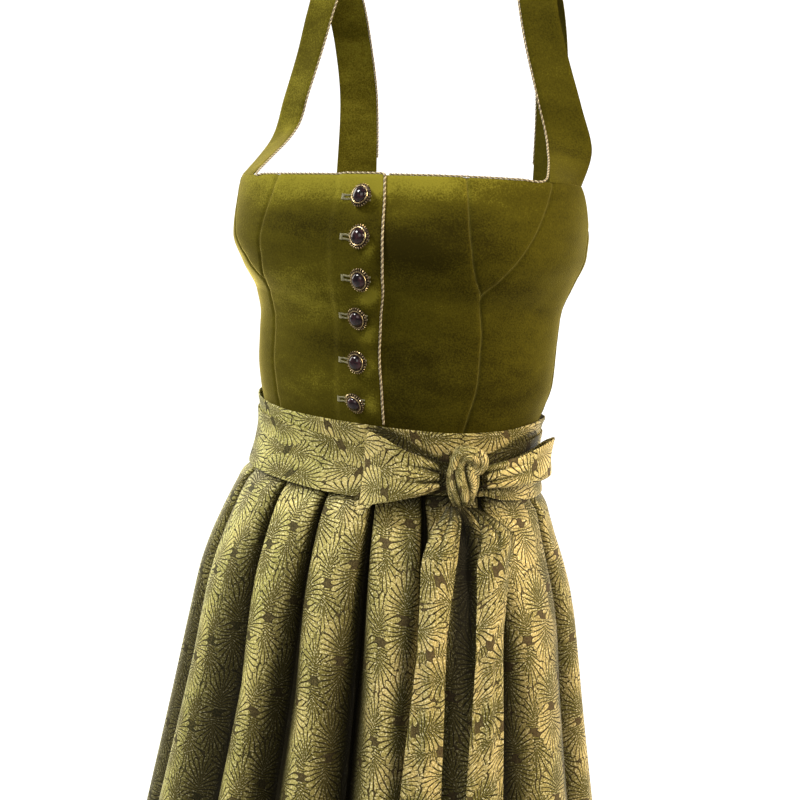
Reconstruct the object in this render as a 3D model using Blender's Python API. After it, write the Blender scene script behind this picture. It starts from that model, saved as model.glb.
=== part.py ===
"""Dirndl dress with a pleated apron, as worn: velvet bodice, straps, skirt, apron, ties and bow.

Metres, +Z up. The front faces -Y and the wearer's left is +X. The origin is midway between the
tops of the two shoulder straps, where the wearer's shoulders hold the dress.
An angle goes round the body from 0 at centre front, with plus towards the wearer's left.
"""
import math

import bmesh
import bpy
from mathutils import Matrix, Vector

MM = 0.001
SEAM_GAP = 0.34 * MM          # air between two pieces at a seam

BODICE_WALL = 1.6 * MM        # velvet on its cotton backing
BAND_WALL = 1.8 * MM
TIE_WALL = 1.5 * MM
SKIRT_WALL = 1.5 * MM
APRON_WALL = 1.5 * MM

NECK_HEIGHT = -0.170
NECK_TILT = 0.004             # the wearer's left side of the neckline sits this much higher
BACK_NECK_HEIGHT = -0.166
ARMHOLE_DEPTH = 0.042
WAIST_SEAM = -0.3865
SKIRT_HEM = -1.058
APRON_HEM = -1.032

LEFT, RIGHT = 1, -1           # the wearer's sides
# Degrees of the inner and outer edge where a strap meets the front, by side, and the back.
STRAP_FRONT = {LEFT: (67.8, 84.0), RIGHT: (53.0, 72.0)}
STRAP_BACK = (139.0, 123.0)
BODICE_TURN = 1.6             # degrees that the bodice sits turned round the body
SIDE_SEAM = 94.0
BACK_SEAM = 154.0
APRON_END = 120.0

UNDERLAP_EDGE = -0.0130       # x of the left front's edge, below the right front
PLACKET_LIFT = BODICE_WALL + 0.3 * MM

BAND_INNER = 4.1 * MM         # the apron band's inner face, outside the bodice's inner face
BAND_BOTTOM = -0.4165
TIE_INNER = BAND_INNER + BAND_WALL + 0.35 * MM

PIPING_RADIUS = 1.05 * MM
PIPING_ABOVE = PIPING_RADIUS + 0.32 * MM
PIPING_SIDES = 6
STRAP_COLUMNS = 3
# How far before the left front's edge the right front starts to step up over it, and ends.
PLACKET_STEPS = (9.2 * MM, 5.5 * MM, 1.8 * MM)

BUTTON_RADIUS = 10.0 * MM
SHANK_RADIUS = 2.2 * MM
BUTTON_TILT = math.radians(-13.0)
BUTTON_HEIGHTS = (-0.1872, -0.2165, -0.2461, -0.2763, -0.3128, -0.3450)
BUTTON_ANGLES = (4.4, 6.0, 6.6, 3.3, 2.1, 1.8)
BUTTON_SIDES = 12

KNOT_ANGLE = 52.0
KNOT_HEIGHT = -0.398
KNOT_WIDTH = 0.037
KNOT_TALL = 0.049
KNOT_DEEP = 0.026
KNOT_OUT = TIE_INNER + TIE_WALL + SEAM_GAP + KNOT_DEEP / 2

ROUND_STEP = 6.0              # degrees between the columns of band and ties
SKIRT_SQUARE = 2.2            # how square the skirt's section is
SKIRT_FRONT_PLEATS = 5
SKIRT_BACK_PLEATS = 11
GATHER_COLUMNS = 8

# Inner face of the bodice and of the band under the apron: height, half width, depth of the
# front half, depth of the back half, how square the section is (2 is an ellipse), and how far
# its middle lies to the wearer's left.
BODY = [
    # z      half    front    back    square  shift
    (-0.120, 0.1440, 0.0880, 0.0960, 2.30, -0.0020),
    (-0.150, 0.1465, 0.0990, 0.0980, 2.30, -0.0025),
    (-0.185, 0.1500, 0.1110, 0.0990, 2.40, -0.0030),
    (-0.222, 0.1490, 0.1190, 0.0980, 2.50, -0.0030),
    (-0.245, 0.1412, 0.1155, 0.0960, 2.35, -0.0028),
    (-0.268, 0.1335, 0.1055, 0.0930, 2.10, -0.0022),
    (-0.290, 0.1305, 0.0985, 0.0900, 2.12, -0.0006),
    (-0.330, 0.1293, 0.0925, 0.0860, 2.30, -0.0009),
    (-0.350, 0.1255, 0.0890, 0.0830, 2.30, -0.0022),
    (-0.366, 0.1220, 0.0855, 0.0800, 2.25, -0.0032),
    (-0.386, 0.1205, 0.0840, 0.0785, 2.20, -0.0038),
    (-0.402, 0.1222, 0.0855, 0.0810, 2.20, -0.0040),
    (-0.424, 0.1268, 0.0905, 0.0860, 2.20, -0.0045),
    (-0.430, 0.1284, 0.0921, 0.0876, 2.20, -0.0046),
]

# Crest of the pleats of apron and skirt, the depth of the apron's pleats and that of the skirt's
# gathers, how far the skirt's crest lies inside the apron's crest, and the shift of the middle.
SKIRT = [
    # z      half    front    back    pleat   gather  under   shift
    (-0.387, 0.1235, 0.0880, 0.0820, 0.0020, 0.0010, 0.0002, -0.0038),
    (-0.417, 0.1290, 0.0927, 0.0882, 0.0070, 0.0026, 0.0095, -0.0044),
    (-0.426, 0.1320, 0.0951, 0.0906, 0.0085, 0.0040, 0.0112, -0.0046),
    (-0.433, 0.1385, 0.1003, 0.0972, 0.0105, 0.0056, 0.0135, -0.0050),
    (-0.445, 0.1435, 0.1075, 0.1070, 0.0125, 0.0080, 0.0155, -0.0055),
    (-0.470, 0.1535, 0.1190, 0.1200, 0.0160, 0.0110, 0.0195, -0.0062),
    (-0.497, 0.1635, 0.1300, 0.1330, 0.0195, 0.0140, 0.0230, -0.0064),
    (-0.525, 0.1715, 0.1390, 0.1440, 0.0225, 0.0165, 0.0260, -0.0062),
    (-0.565, 0.1785, 0.1490, 0.1560, 0.0250, 0.0185, 0.0285, -0.0058),
    (-0.650, 0.1930, 0.1660, 0.1750, 0.0270, 0.0205, 0.0305, -0.0055),
    (-0.800, 0.2200, 0.1960, 0.2070, 0.0290, 0.0230, 0.0325, -0.0050),
    (-1.060, 0.2650, 0.2440, 0.2570, 0.0310, 0.0260, 0.0345, -0.0050),
]

# The right front's edge on the placket, which bows a little over the bust.
PLACKET_LINE = [
    # z      x
    (-0.168, 0.0172),
    (-0.190, 0.0212),
    (-0.230, 0.0250),
    (-0.250, 0.0244),
    (-0.274, 0.0200),
    (-0.303, 0.0178),
    (-0.340, 0.0200),
    (-0.388, 0.0216),
]

# Top edge of the apron's band, which rides up at the wearer's sides.
BAND_TOP = [
    # angle   z
    (-120.0, -0.3600),
    (-86.0, -0.3570),
    (-62.0, -0.3605),
    (-40.0, -0.3632),
    (0.0, -0.3638),
    (44.0, -0.3636),
    (66.0, -0.3605),
    (88.0, -0.3560),
    (120.0, -0.3600),
]

# Rows of the bodice panels: share of the height from the top edge to the waist seam, and the
# angles of the princess seam and of the seam under the cup, which meet at the sixth row.
PANEL_ROWS = [
    # down   princess  cup
    (0.000, 39.4, 67.4),
    (0.080, 39.6, 64.6),
    (0.170, 39.8, 60.7),
    (0.260, 41.0, 55.6),
    (0.340, 43.6, 51.2),
    (0.402, 47.0, 47.0),
    (0.470, 49.2, 49.2),
    (0.560, 50.8, 50.8),
    (0.700, 51.0, 51.0),
    (0.840, 50.4, 50.4),
    (0.920, 50.4, 50.4),
    (1.000, 50.6, 50.6),
]
CUP_TIP_ROW = 5
CUP_TIP_SHARE = 0.88          # the cup panel's last row, between the fifth and the sixth

# Edges of the left strap's inner face, front to back over the shoulder.
STRAP_PATH = [
    # inner x  y       z       outer x  y       z
    (0.1143, -0.0118, -0.1320, 0.1463, 0.0047, -0.1370),
    (0.1030, -0.0110, -0.0980, 0.1350, 0.0030, -0.1030),
    (0.0900, -0.0120, -0.0580, 0.1215, -0.0010, -0.0650),
    (0.0805, -0.0110, -0.0220, 0.1115, -0.0050, -0.0310),
    (0.0750, 0.0000, 0.0000, 0.1075, 0.0000, -0.0110),
    (0.0755, 0.0240, -0.0120, 0.1075, 0.0215, -0.0220),
    (0.0765, 0.0480, -0.0440, 0.1080, 0.0430, -0.0520),
    (0.0770, 0.0720, -0.0950, 0.1085, 0.0600, -0.0990),
]

PLEATS_PRESSED = -0.425       # down to this height the apron's pleats are pressed flat
PLEATS_OPEN = -0.585          # and from here on they hang fully open
PLEAT_UNEVENNESS = 0.12
UNDER_START = APRON_END + 5.0   # beyond this angle the skirt comes out from below the apron
UNDER_FADE = 16.0

# Apron pleats: shares of the pitch and of the depth, where the pleat is pressed flat below the
# band and where it hangs open like an organ pipe.
PLEAT_SHAPE = [
    # pressed   depth   open    depth
    (-0.500, 0.00, -0.500, 0.02),
    (-0.455, 0.10, -0.420, 0.09),
    (-0.440, 0.80, -0.335, 0.42),
    (-0.360, 0.96, -0.240, 0.76),
    (-0.180, 0.93, -0.120, 0.95),
    (0.000, 1.00, 0.000, 1.00),
    (0.180, 0.93, 0.120, 0.95),
    (0.360, 0.96, 0.240, 0.76),
    (0.440, 0.80, 0.335, 0.42),
    (0.455, 0.10, 0.420, 0.09),
]
# Angles of the valleys between the apron's pleats, pressed below the band and hanging open.
APRON_VALLEYS = [
    # pressed    open
    (-APRON_END, -APRON_END),
    (-105.0, -105.0),
    (-88.0, -87.0),
    (-62.0, -58.0),
    (-36.5, -28.5),
    (-11.4, -7.5),
    (14.4, 14.8),
    (37.0, 36.5),
    (60.0, 60.0),
    (88.0, 91.0),
    (105.0, 106.5),
    (APRON_END, APRON_END),
]
APRON_ROWS = (-0.4170, -0.4262, -0.4400, -0.4780, -0.5250, -0.6200, -0.7900, APRON_HEM)
SKIRT_ROWS = (-0.3870, -0.4200, -0.4550, -0.5250, -0.6500, -0.8200, SKIRT_HEM)

# The apron's ties, by angle: top and bottom edge, and 0 below or 1 above the other layer.
TIE_RIGHT = [
    # angle   top      bottom   layer
    (-120.25, -0.3660, -0.4165, 0.0),
    (-133.0, -0.3690, -0.4050, 0.0),
    (-150.0, -0.3700, -0.3925, 0.0),
    (-180.0, -0.3700, -0.3925, 0.5),
    (-210.0, -0.3700, -0.3925, 1.0),
    (-227.0, -0.3700, -0.4060, 1.0),
    (-240.0, -0.3700, -0.4210, 1.0),
    (-268.0, -0.3700, -0.4240, 1.0),
    (-292.0, -0.3760, -0.4200, 1.0),
    (-299.5, -0.3850, -0.4160, 1.0),
    (-308.05, -0.3880, -0.4160, 1.0),
]
TIE_LEFT = [
    # angle   top      bottom   layer
    (120.25, -0.3660, -0.4165, 0.0),
    (133.0, -0.3800, -0.4180, 0.0),
    (150.0, -0.3935, -0.4180, 0.0),
    (180.0, -0.3935, -0.4180, 0.5),
    (210.0, -0.3935, -0.4180, 1.0),
    (227.0, -0.3820, -0.4200, 1.0),
    (240.0, -0.3715, -0.4215, 1.0),
    (290.0, -0.3720, -0.4235, 1.0),
    (325.0, -0.3745, -0.4240, 1.0),
    (355.0, -0.3795, -0.4250, 1.0),
    (385.0, -0.3830, -0.4230, 1.0),
    (403.5, -0.3880, -0.4160, 1.0),
    (411.70, -0.3900, -0.4160, 1.0),
]

# The bow's loops: angle, distance out from the ties, and the ribbon's top and bottom edge,
# from the knot along the front layer, round the fold and back to the knot behind.
LOOP_RIGHT_SIDE = [
    # angle  out     top      bottom
    (43.8, 0.0150, -0.3870, -0.4110),
    (38.0, 0.0170, -0.3800, -0.4170),
    (30.0, 0.0185, -0.3740, -0.4220),
    (21.5, 0.0170, -0.3670, -0.4270),
    (14.5, 0.0125, -0.3630, -0.4305),
    (11.0, 0.0080, -0.3660, -0.4300),
    (13.0, 0.0042, -0.3700, -0.4275),
    (21.0, 0.0028, -0.3740, -0.4240),
    (31.0, 0.0030, -0.3800, -0.4210),
    (43.8, 0.0050, -0.3890, -0.4110),
]
LOOP_LEFT_SIDE = [
    # angle  out     top      bottom
    (59.3, 0.0160, -0.3870, -0.4090),
    (66.0, 0.0190, -0.3780, -0.4080),
    (74.0, 0.0200, -0.3700, -0.4060),
    (82.0, 0.0180, -0.3655, -0.4040),
    (87.5, 0.0140, -0.3660, -0.4030),
    (89.5, 0.0095, -0.3690, -0.4040),
    (87.5, 0.0054, -0.3730, -0.4060),
    (79.0, 0.0028, -0.3800, -0.4080),
    (69.0, 0.0030, -0.3860, -0.4090),
    (59.3, 0.0050, -0.3900, -0.4095),
]

# The bow's tails: height, angle of the middle, distance out from the pleats' crests, half of
# the width that shows, and how deep the tail is folded along its middle.
TAIL_RIGHT_SIDE = [
    # z      angle  out     half    fold
    (-0.4290, 46.8, 0.0155, 0.0080, 0.0020),
    (-0.4400, 44.4, 0.0110, 0.0110, 0.0050),
    (-0.4620, 41.6, 0.0065, 0.0135, 0.0070),
    (-0.4900, 39.8, 0.0040, 0.0120, 0.0070),
    (-0.5200, 38.4, 0.0030, 0.0110, 0.0060),
    (-0.6000, 36.4, 0.0025, 0.0140, 0.0050),
    (-0.7000, 35.0, 0.0025, 0.0180, 0.0040),
    (-0.7700, 34.4, 0.0025, 0.0200, 0.0030),
]
TAIL_LEFT_SIDE = [
    # z      angle  out     half    fold
    (-0.4290, 58.6, 0.0155, 0.0085, 0.0020),
    (-0.4400, 61.0, 0.0115, 0.0145, 0.0060),
    (-0.4620, 58.6, 0.0065, 0.0145, 0.0075),
    (-0.4900, 56.2, 0.0040, 0.0125, 0.0070),
    (-0.5200, 54.2, 0.0030, 0.0115, 0.0060),
    (-0.6000, 52.0, 0.0025, 0.0140, 0.0050),
    (-0.7000, 50.4, 0.0025, 0.0175, 0.0040),
    (-0.7450, 50.0, 0.0025, 0.0190, 0.0030),
]
LOOP_BELLY = 1.2 * MM         # how far a loop's middle swells between its edges
TAIL_COLUMNS = 6
TAIL_START = 0.008            # each tail leaves the knot this far from its middle


def smoothTable(table, key):
    """Row of a table at key, by a smooth curve that doesn't overshoot; the first column is the key."""
    rows = table if table[0][0] < table[-1][0] else table[::-1]
    last = len(rows) - 1
    if key <= rows[0][0]:
        return rows[0][1:]
    if key >= rows[last][0]:
        return rows[last][1:]
    low = max(i for i in range(last) if rows[i][0] <= key)
    step = rows[low + 1][0] - rows[low][0]
    share = (key - rows[low][0]) / step
    result = []
    for column in range(1, len(rows[0])):
        def slope(i):
            return (rows[i + 1][column] - rows[i][column]) / (rows[i + 1][0] - rows[i][0])

        def tangent(i):
            if i == 0 or i == last:
                return slope(min(i, last - 1))
            before, after = slope(i - 1), slope(i)
            return 0.0 if before * after <= 0 else 2 * before * after / (before + after)

        start, end = rows[low][column], rows[low + 1][column]
        bend = tangent(low) * step * share * (1 - share) ** 2
        unbend = tangent(low + 1) * step * share ** 2 * (1 - share)
        ease = share * share * (3 - 2 * share)
        result.append(start + (end - start) * ease + bend - unbend)
    return result


def sectionPoint(angle, z, half, front, back, square, shift):
    """Point of a rounded-square section at an angle in degrees."""
    turn = math.radians(angle)
    depth = front if math.cos(turn) > 0 else back
    across = (abs(math.sin(turn)) / half) ** square
    along = (abs(math.cos(turn)) / depth) ** square
    radius = (across + along) ** (-1 / square)
    return Vector((radius * math.sin(turn) + shift, -radius * math.cos(turn), z))


def bodyPoint(angle, z, out=0.0):
    """Point on the bodice's inner face, moved out along the face's normal."""
    def point(a, height):
        return sectionPoint(a, height, *smoothTable(BODY, height))

    here = point(angle, z)
    if out == 0.0:
        return here
    around = point(angle + 0.5, z) - point(angle - 0.5, z)
    down = point(angle, z - MM) - point(angle, z + MM)
    return here + down.cross(around).normalized() * out


def skirtFrame(angle, z):
    """Crest point of the skirt at an angle, and the level directions outwards and round."""
    half, front, back, pleat, gather, under, shift = smoothTable(SKIRT, z)

    def point(a):
        return sectionPoint(a, z, half, front, back, SKIRT_SQUARE, shift)

    around = (point(angle + 0.5) - point(angle - 0.5)).normalized()
    outward = Vector((around.y, -around.x, 0.0))
    return point(angle), outward, around


def addPart(name, points, faces, material):
    """Named closed solid from points and faces."""
    mesh = bpy.data.meshes.new(name)
    mesh.from_pydata([tuple(p) for p in points], [], faces)
    body = bmesh.new()
    body.from_mesh(mesh)
    bmesh.ops.recalc_face_normals(body, faces=body.faces)
    body.to_mesh(mesh)
    body.free()
    mesh.shade_smooth()
    mesh.set_sharp_from_angle(angle=math.radians(45))
    mesh.materials.append(material)
    part = bpy.data.objects.new(name, mesh)
    bpy.context.collection.objects.link(part)
    return part


def wallPart(name, inner, outer, material):
    """Closed wall between two grids of points, rows from top to bottom, columns by rising angle."""
    rows = len(inner)
    columns = len(inner[0])
    points = [p for row in outer for p in row] + [p for row in inner for p in row]
    count = rows * columns

    def front(r, c):
        return r * columns + c

    def rear(r, c):
        return count + r * columns + c

    faces = []
    for r in range(rows - 1):
        for c in range(columns - 1):
            faces.append((front(r, c), front(r + 1, c), front(r + 1, c + 1), front(r, c + 1)))
            faces.append((rear(r, c), rear(r, c + 1), rear(r + 1, c + 1), rear(r + 1, c)))
        faces.append((front(r, 0), rear(r, 0), rear(r + 1, 0), front(r + 1, 0)))
        last = columns - 1
        faces.append((front(r, last), front(r + 1, last), rear(r + 1, last), rear(r, last)))
    for c in range(columns - 1):
        faces.append((front(0, c), front(0, c + 1), rear(0, c + 1), rear(0, c)))
        foot = rows - 1
        faces.append((front(foot, c), rear(foot, c), rear(foot, c + 1), front(foot, c + 1)))
    return addPart(name, points, faces, material)


def tubePart(name, path, radius, sides, material):
    """Round cord along a list of points, with flat ends."""
    points = []
    previous = None
    for i, here in enumerate(path):
        ahead = path[min(i + 1, len(path) - 1)] - path[max(i - 1, 0)]
        ahead.normalize()
        if previous is None:
            side = ahead.orthogonal().normalized()
        else:
            side = (previous - ahead * previous.dot(ahead)).normalized()
        previous = side
        up = ahead.cross(side)
        for k in range(sides):
            turn = 2 * math.pi * k / sides
            points.append(here + side * (radius * math.cos(turn)) + up * (radius * math.sin(turn)))
    faces = [tuple(range(sides))[::-1]]
    for i in range(len(path) - 1):
        for k in range(sides):
            n = (k + 1) % sides
            faces.append((i * sides + k, i * sides + n, (i + 1) * sides + n, (i + 1) * sides + k))
    base = (len(path) - 1) * sides
    faces.append(tuple(base + k for k in range(sides)))
    return addPart(name, points, faces, material)


def turnedPart(name, profile, sides, place, material):
    """Solid turned about its own Z axis; profile rows are radius and height, from axis to axis."""
    points = []
    rings = []
    for radius, height in profile:
        if radius == 0.0:
            rings.append([len(points)])
            points.append(place(Vector((0.0, 0.0, height))))
            continue
        rings.append([len(points) + k for k in range(sides)])
        for k in range(sides):
            turn = 2 * math.pi * k / sides
            points.append(place(Vector((radius * math.cos(turn), radius * math.sin(turn), height))))
    faces = []
    for low, high in zip(rings, rings[1:]):
        for k in range(sides):
            n = (k + 1) % sides
            if len(low) == 1:
                faces.append((low[0], high[n], high[k]))
            elif len(high) == 1:
                faces.append((low[k], low[n], high[0]))
            else:
                faces.append((low[k], low[n], high[n], high[k]))
    return addPart(name, points, faces, material)


def clothMaterial(name, colour, roughness, metallic=0.0):
    material = bpy.data.materials.new(name)
    material.use_nodes = True
    shader = material.node_tree.nodes["Principled BSDF"]
    shader.inputs["Base Color"].default_value = (*colour, 1.0)
    shader.inputs["Roughness"].default_value = roughness
    shader.inputs["Metallic"].default_value = metallic
    return material


def topHeight(angle):
    """Height of the bodice's top edge: neckline, armhole and back neckline."""
    signed = (angle + 180.0) % 360.0 - 180.0
    turn = abs(signed)
    neck = NECK_HEIGHT + NECK_TILT * math.sin(math.radians(angle))
    start, end = STRAP_FRONT[LEFT if signed > 0 else RIGHT][1], STRAP_BACK[1]
    if turn <= start:
        return neck
    share = min(1.0, (turn - start) / (end - start))
    edge = neck + (BACK_NECK_HEIGHT - neck) * share
    return edge - ARMHOLE_DEPTH * math.sin(math.pi * share) ** 1.3


def rowHeight(angle, down):
    top = topHeight(angle)
    return top + (WAIST_SEAM - top) * down


def edgeAngle(x, z):
    """Angle at which the bodice's front reaches a distance from centre front."""
    low, high = -40.0, 40.0
    for _ in range(40):
        middle = (low + high) / 2
        if bodyPoint(middle, z).x < x:
            low = middle
        else:
            high = middle
    return low


def trimmedSeam(seam, side):
    """Seam angles moved by half a seam gap; side is +1 to move to a higher angle."""
    heights = [rowHeight(seam[i], row[0]) for i, row in enumerate(PANEL_ROWS[:len(seam)])]
    moved = []
    for i, angle in enumerate(seam):
        before, after = max(i - 1, 0), min(i + 1, len(seam) - 1)
        here = bodyPoint(angle, heights[i])
        radius = math.hypot(here.x, here.y)
        lean = math.radians(seam[after] - seam[before]) * radius
        drop = heights[before] - heights[after]
        slant = math.hypot(1.0, lean / drop)
        moved.append(angle + side * math.degrees(SEAM_GAP / 2 * slant / radius))
    return moved


def bodicePanel(name, left, right, downs, columns, material):
    """Bodice panel between two seams given as angles, row by row."""
    inner, outer = [], []
    for start, end, down in zip(left, right, downs):
        angles = [start + (end - start) * c / columns for c in range(columns + 1)]
        heights = [rowHeight(angle, down) for angle in angles]
        inner.append([bodyPoint(a, z) for a, z in zip(angles, heights)])
        outer.append([bodyPoint(a, z, BODICE_WALL) for a, z in zip(angles, heights)])
    return wallPart(name, inner, outer, material)


def placketEdge(z):
    """Distance of the right front's edge from the middle, at a height."""
    return smoothTable(PLACKET_LINE, z)[0]


def placketLift(angle, z):
    """The right front lies on the left front, from just before the left front's edge."""
    x = bodyPoint(angle, z).x
    share = (x - (UNDERLAP_EDGE - 0.009)) / 0.007
    share = max(0.0, min(1.0, share))
    return PLACKET_LIFT * share * share * (3 - 2 * share)


def seamAngles(angles, side):
    """Angles of a seam on one side of the bodice, which sits turned a little."""
    return [side * angle + BODICE_TURN for angle in angles]


def sidePanel(name, side, near, far, downs, columns, velvet):
    """Panel of one side, from its seam nearer the front to the one farther round."""
    near = trimmedSeam(seamAngles(near, side), side)
    far = trimmedSeam(seamAngles(far, side), -side)
    left, right = (near, far) if side == LEFT else (far, near)
    bodicePanel(name, left, right, downs, columns, velvet)


def makeBodice(velvet):
    downs, princess, cup = [list(column) for column in zip(*PANEL_ROWS)]
    sideSeam, backSeam = [SIDE_SEAM] * len(downs), [BACK_SEAM] * len(downs)
    placket = [edgeAngle(placketEdge(z), z) for z in [rowHeight(8.0, d) for d in downs]]
    underlap = [edgeAngle(UNDERLAP_EDGE, rowHeight(-6.0, d)) for d in downs]
    frontRight(trimmedSeam(seamAngles(princess, RIGHT), +1), placket, downs, velvet)
    bodicePanel("front_left", underlap, trimmedSeam(seamAngles(princess, LEFT), -1), downs, 8, velvet)

    fifth, sixth = PANEL_ROWS[CUP_TIP_ROW - 1], PANEL_ROWS[CUP_TIP_ROW]
    tip = [a + (b - a) * CUP_TIP_SHARE for a, b in zip(fifth, sixth)]
    cupDowns = downs[:CUP_TIP_ROW] + [tip[0]]
    cupNear = princess[:CUP_TIP_ROW] + [tip[1]]
    cupFar = cup[:CUP_TIP_ROW] + [tip[2]]
    for side, word in ((RIGHT, "right"), (LEFT, "left")):
        sidePanel("cup_" + word, side, cupNear, cupFar, cupDowns, 4, velvet)
        sidePanel("side_front_" + word, side, cup, sideSeam, downs, 5, velvet)
        sidePanel("side_back_" + word, side, sideSeam, backSeam, downs, 6, velvet)
    start = trimmedSeam(seamAngles(backSeam, LEFT), 1)
    end = trimmedSeam([360.0 + angle for angle in seamAngles(backSeam, RIGHT)], -1)
    bodicePanel("back_centre", start, end, downs, 6, velvet)


def frontRight(seam, placket, downs, velvet):
    """Right front, with closer columns where it steps up over the left front."""
    inner, outer = [], []
    for start, end, down in zip(seam, placket, downs):
        z = rowHeight(-20.0, down)
        steps = [edgeAngle(UNDERLAP_EDGE - away, z) for away in PLACKET_STEPS]
        angles = [start + (steps[0] - start) * k / 4 for k in range(4)] + steps
        angles += [steps[2] + (end - steps[2]) * k / 4 for k in range(1, 5)]
        heights = [rowHeight(a, down) for a in angles]
        lifts = [placketLift(a, h) for a, h in zip(angles, heights)]
        inner.append([bodyPoint(a, h, o) for a, h, o in zip(angles, heights, lifts)])
        outer.append([bodyPoint(a, h, o + BODICE_WALL) for a, h, o in zip(angles, heights, lifts)])
    return wallPart("front_right", inner, outer, velvet)


def strapEnd(side, span, columns, out=0.0):
    """Points right above the bodice's top edge where a strap is sewn to it."""
    angles = [side * (span[0] + (span[1] - span[0]) * c / columns) for c in range(columns + 1)]
    return [bodyPoint(angle, topHeight(angle) + SEAM_GAP, out) for angle in angles]


def curveThrough(points, parts):
    """Points of a smooth curve through the given ones, parts steps between each two."""
    result = []
    for i in range(len(points) - 1):
        before = points[max(i - 1, 0)]
        start, end = points[i], points[i + 1]
        after = points[min(i + 2, len(points) - 1)]
        for k in range(parts):
            t = k / parts
            bend = (end - before) * (t - 2 * t * t + t ** 3) / 2
            unbend = (after - start) * (t ** 3 - t * t) / 2
            ease = t * t * (3 - 2 * t)
            result.append(start.lerp(end, ease) + bend + unbend)
    result.append(points[-1].copy())
    return result


def strapGrid(side):
    """Inner face of a strap: rows from the front over the shoulder, columns from its inner edge."""
    flip = Vector((side, 1.0, 1.0))
    rows = [(Vector(row[:3]) * flip, Vector(row[3:]) * flip) for row in STRAP_PATH]
    front = strapEnd(side, STRAP_FRONT[side], STRAP_COLUMNS)
    back = strapEnd(side, STRAP_BACK, STRAP_COLUMNS)
    inner = curveThrough([front[0]] + [row[0] for row in rows] + [back[0]], 2)
    outer = curveThrough([front[-1]] + [row[1] for row in rows] + [back[-1]], 2)
    shares = [c / STRAP_COLUMNS for c in range(STRAP_COLUMNS + 1)]
    grid = [[a.lerp(b, share) for share in shares] for a, b in zip(inner, outer)]
    return [front] + grid[1:-1] + [back]


def gridNormals(grid):
    normals = []
    for r, row in enumerate(grid):
        line = []
        for c in range(len(row)):
            down = grid[min(r + 1, len(grid) - 1)][c] - grid[max(r - 1, 0)][c]
            along = row[min(c + 1, len(row) - 1)] - row[max(c - 1, 0)]
            line.append(down.cross(along).normalized())
        normals.append(line)
    return normals


def movedGrid(grid, distance):
    normals = gridNormals(grid)
    return [[p + n * distance for p, n in zip(*rows)] for rows in zip(grid, normals)]


def makeStraps(velvet):
    for side, name in ((LEFT, "strap_left"), (RIGHT, "strap_right")):
        grid = strapGrid(side)
        outer = movedGrid(grid, -side * BODICE_WALL)
        outer[0] = strapEnd(side, STRAP_FRONT[side], STRAP_COLUMNS, BODICE_WALL)
        outer[-1] = strapEnd(side, STRAP_BACK, STRAP_COLUMNS, BODICE_WALL)
        wallPart(name, grid, outer, velvet)


def pipingSpot(angle, z, out):
    """Centre of the cord that caps an edge lying at height z, at half the wall's thickness."""
    return bodyPoint(angle, z, out + BODICE_WALL / 2)


def placketCord(away, z, rise=0.0):
    """Centre of the cord beside the placket's edge, clear of the left front below it."""
    out = BODICE_WALL + SEAM_GAP + PIPING_RADIUS
    spot = bodyPoint(edgeAngle(placketEdge(z), z), z, out)
    return Vector((placketEdge(z) + away, spot.y, spot.z + rise))


def strapPiping(side):
    """Cord along the inner edge of a strap, from the neckline to the back."""
    path = []
    for row in movedGrid(strapGrid(side), -side * BODICE_WALL / 2):
        away = (row[0] - row[1]).normalized()
        path.append(row[0] + away * PIPING_ABOVE)
    return path[1:-1]


def neckPiping(angles, onPlacket=False):
    """Cord on the neckline's edge, half of the wall out, and raised with the placket."""
    path = []
    for angle in angles:
        z = topHeight(angle)
        out = placketLift(angle, z) if onPlacket else 0.0
        path.append(pipingSpot(angle, z + PIPING_ABOVE, out))
    return path


def makePiping(cord):
    path = [placketCord(PIPING_ABOVE, smoothTable(BAND_TOP, 14.0)[0] + 0.6 * PIPING_ABOVE)]
    for down, princess, cup in reversed(PANEL_ROWS):
        z = rowHeight(8.0, down)
        if path[0].z + 3 * MM < z < NECK_HEIGHT - 3 * MM:
            path.append(placketCord(PIPING_ABOVE, z))
    corner = topHeight(8.0)
    around = PIPING_ABOVE * 1.06
    for degrees in (0.0, 30.0, 60.0, 90.0):
        turn = math.radians(degrees)
        path.append(placketCord(around * math.cos(turn), corner, around * math.sin(turn)))
    lifted = [edgeAngle(UNDERLAP_EDGE - away, corner) for away in PLACKET_STEPS]
    right = [edgeAngle(placketEdge(corner) - 2.3 * MM, corner), 3.0, -3.0, lifted[-1], lifted[0]]
    right += [-20.0, -27.0, -33.0, -39.5, -46.0, 2.0 - STRAP_FRONT[RIGHT][0]]
    path += neckPiping(right, True) + strapPiping(RIGHT)
    tubePart("piping_right", path, PIPING_RADIUS, PIPING_SIDES, cord)

    start = edgeAngle(placketEdge(corner) + 2 * PIPING_ABOVE + 1.2 * MM, corner)
    left = [start, 18.0, 23.0, 28.0, 33.5, 39.5, 46.0, 52.0, 58.0, STRAP_FRONT[LEFT][0] - 2.0]
    tubePart("piping_left", neckPiping(left) + strapPiping(LEFT), PIPING_RADIUS, PIPING_SIDES, cord)

    ends = STRAP_BACK[0] + 2.2
    back = [ends + (360.0 - 2 * ends) * k / 14 for k in range(15)]
    tubePart("piping_back", neckPiping(back), PIPING_RADIUS, PIPING_SIDES, cord)


def panelSpot(angle, z, out):
    """Point on a bodice panel's face, between the two rows of the panel that pass it."""
    heights = [rowHeight(angle, row[0]) for row in PANEL_ROWS]
    above = max(i for i, height in enumerate(heights) if height >= z)
    share = (heights[above] - z) / (heights[above] - heights[above + 1])
    upper = bodyPoint(angle, heights[above], out)
    return upper.lerp(bodyPoint(angle, heights[above + 1], out), share)


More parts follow.
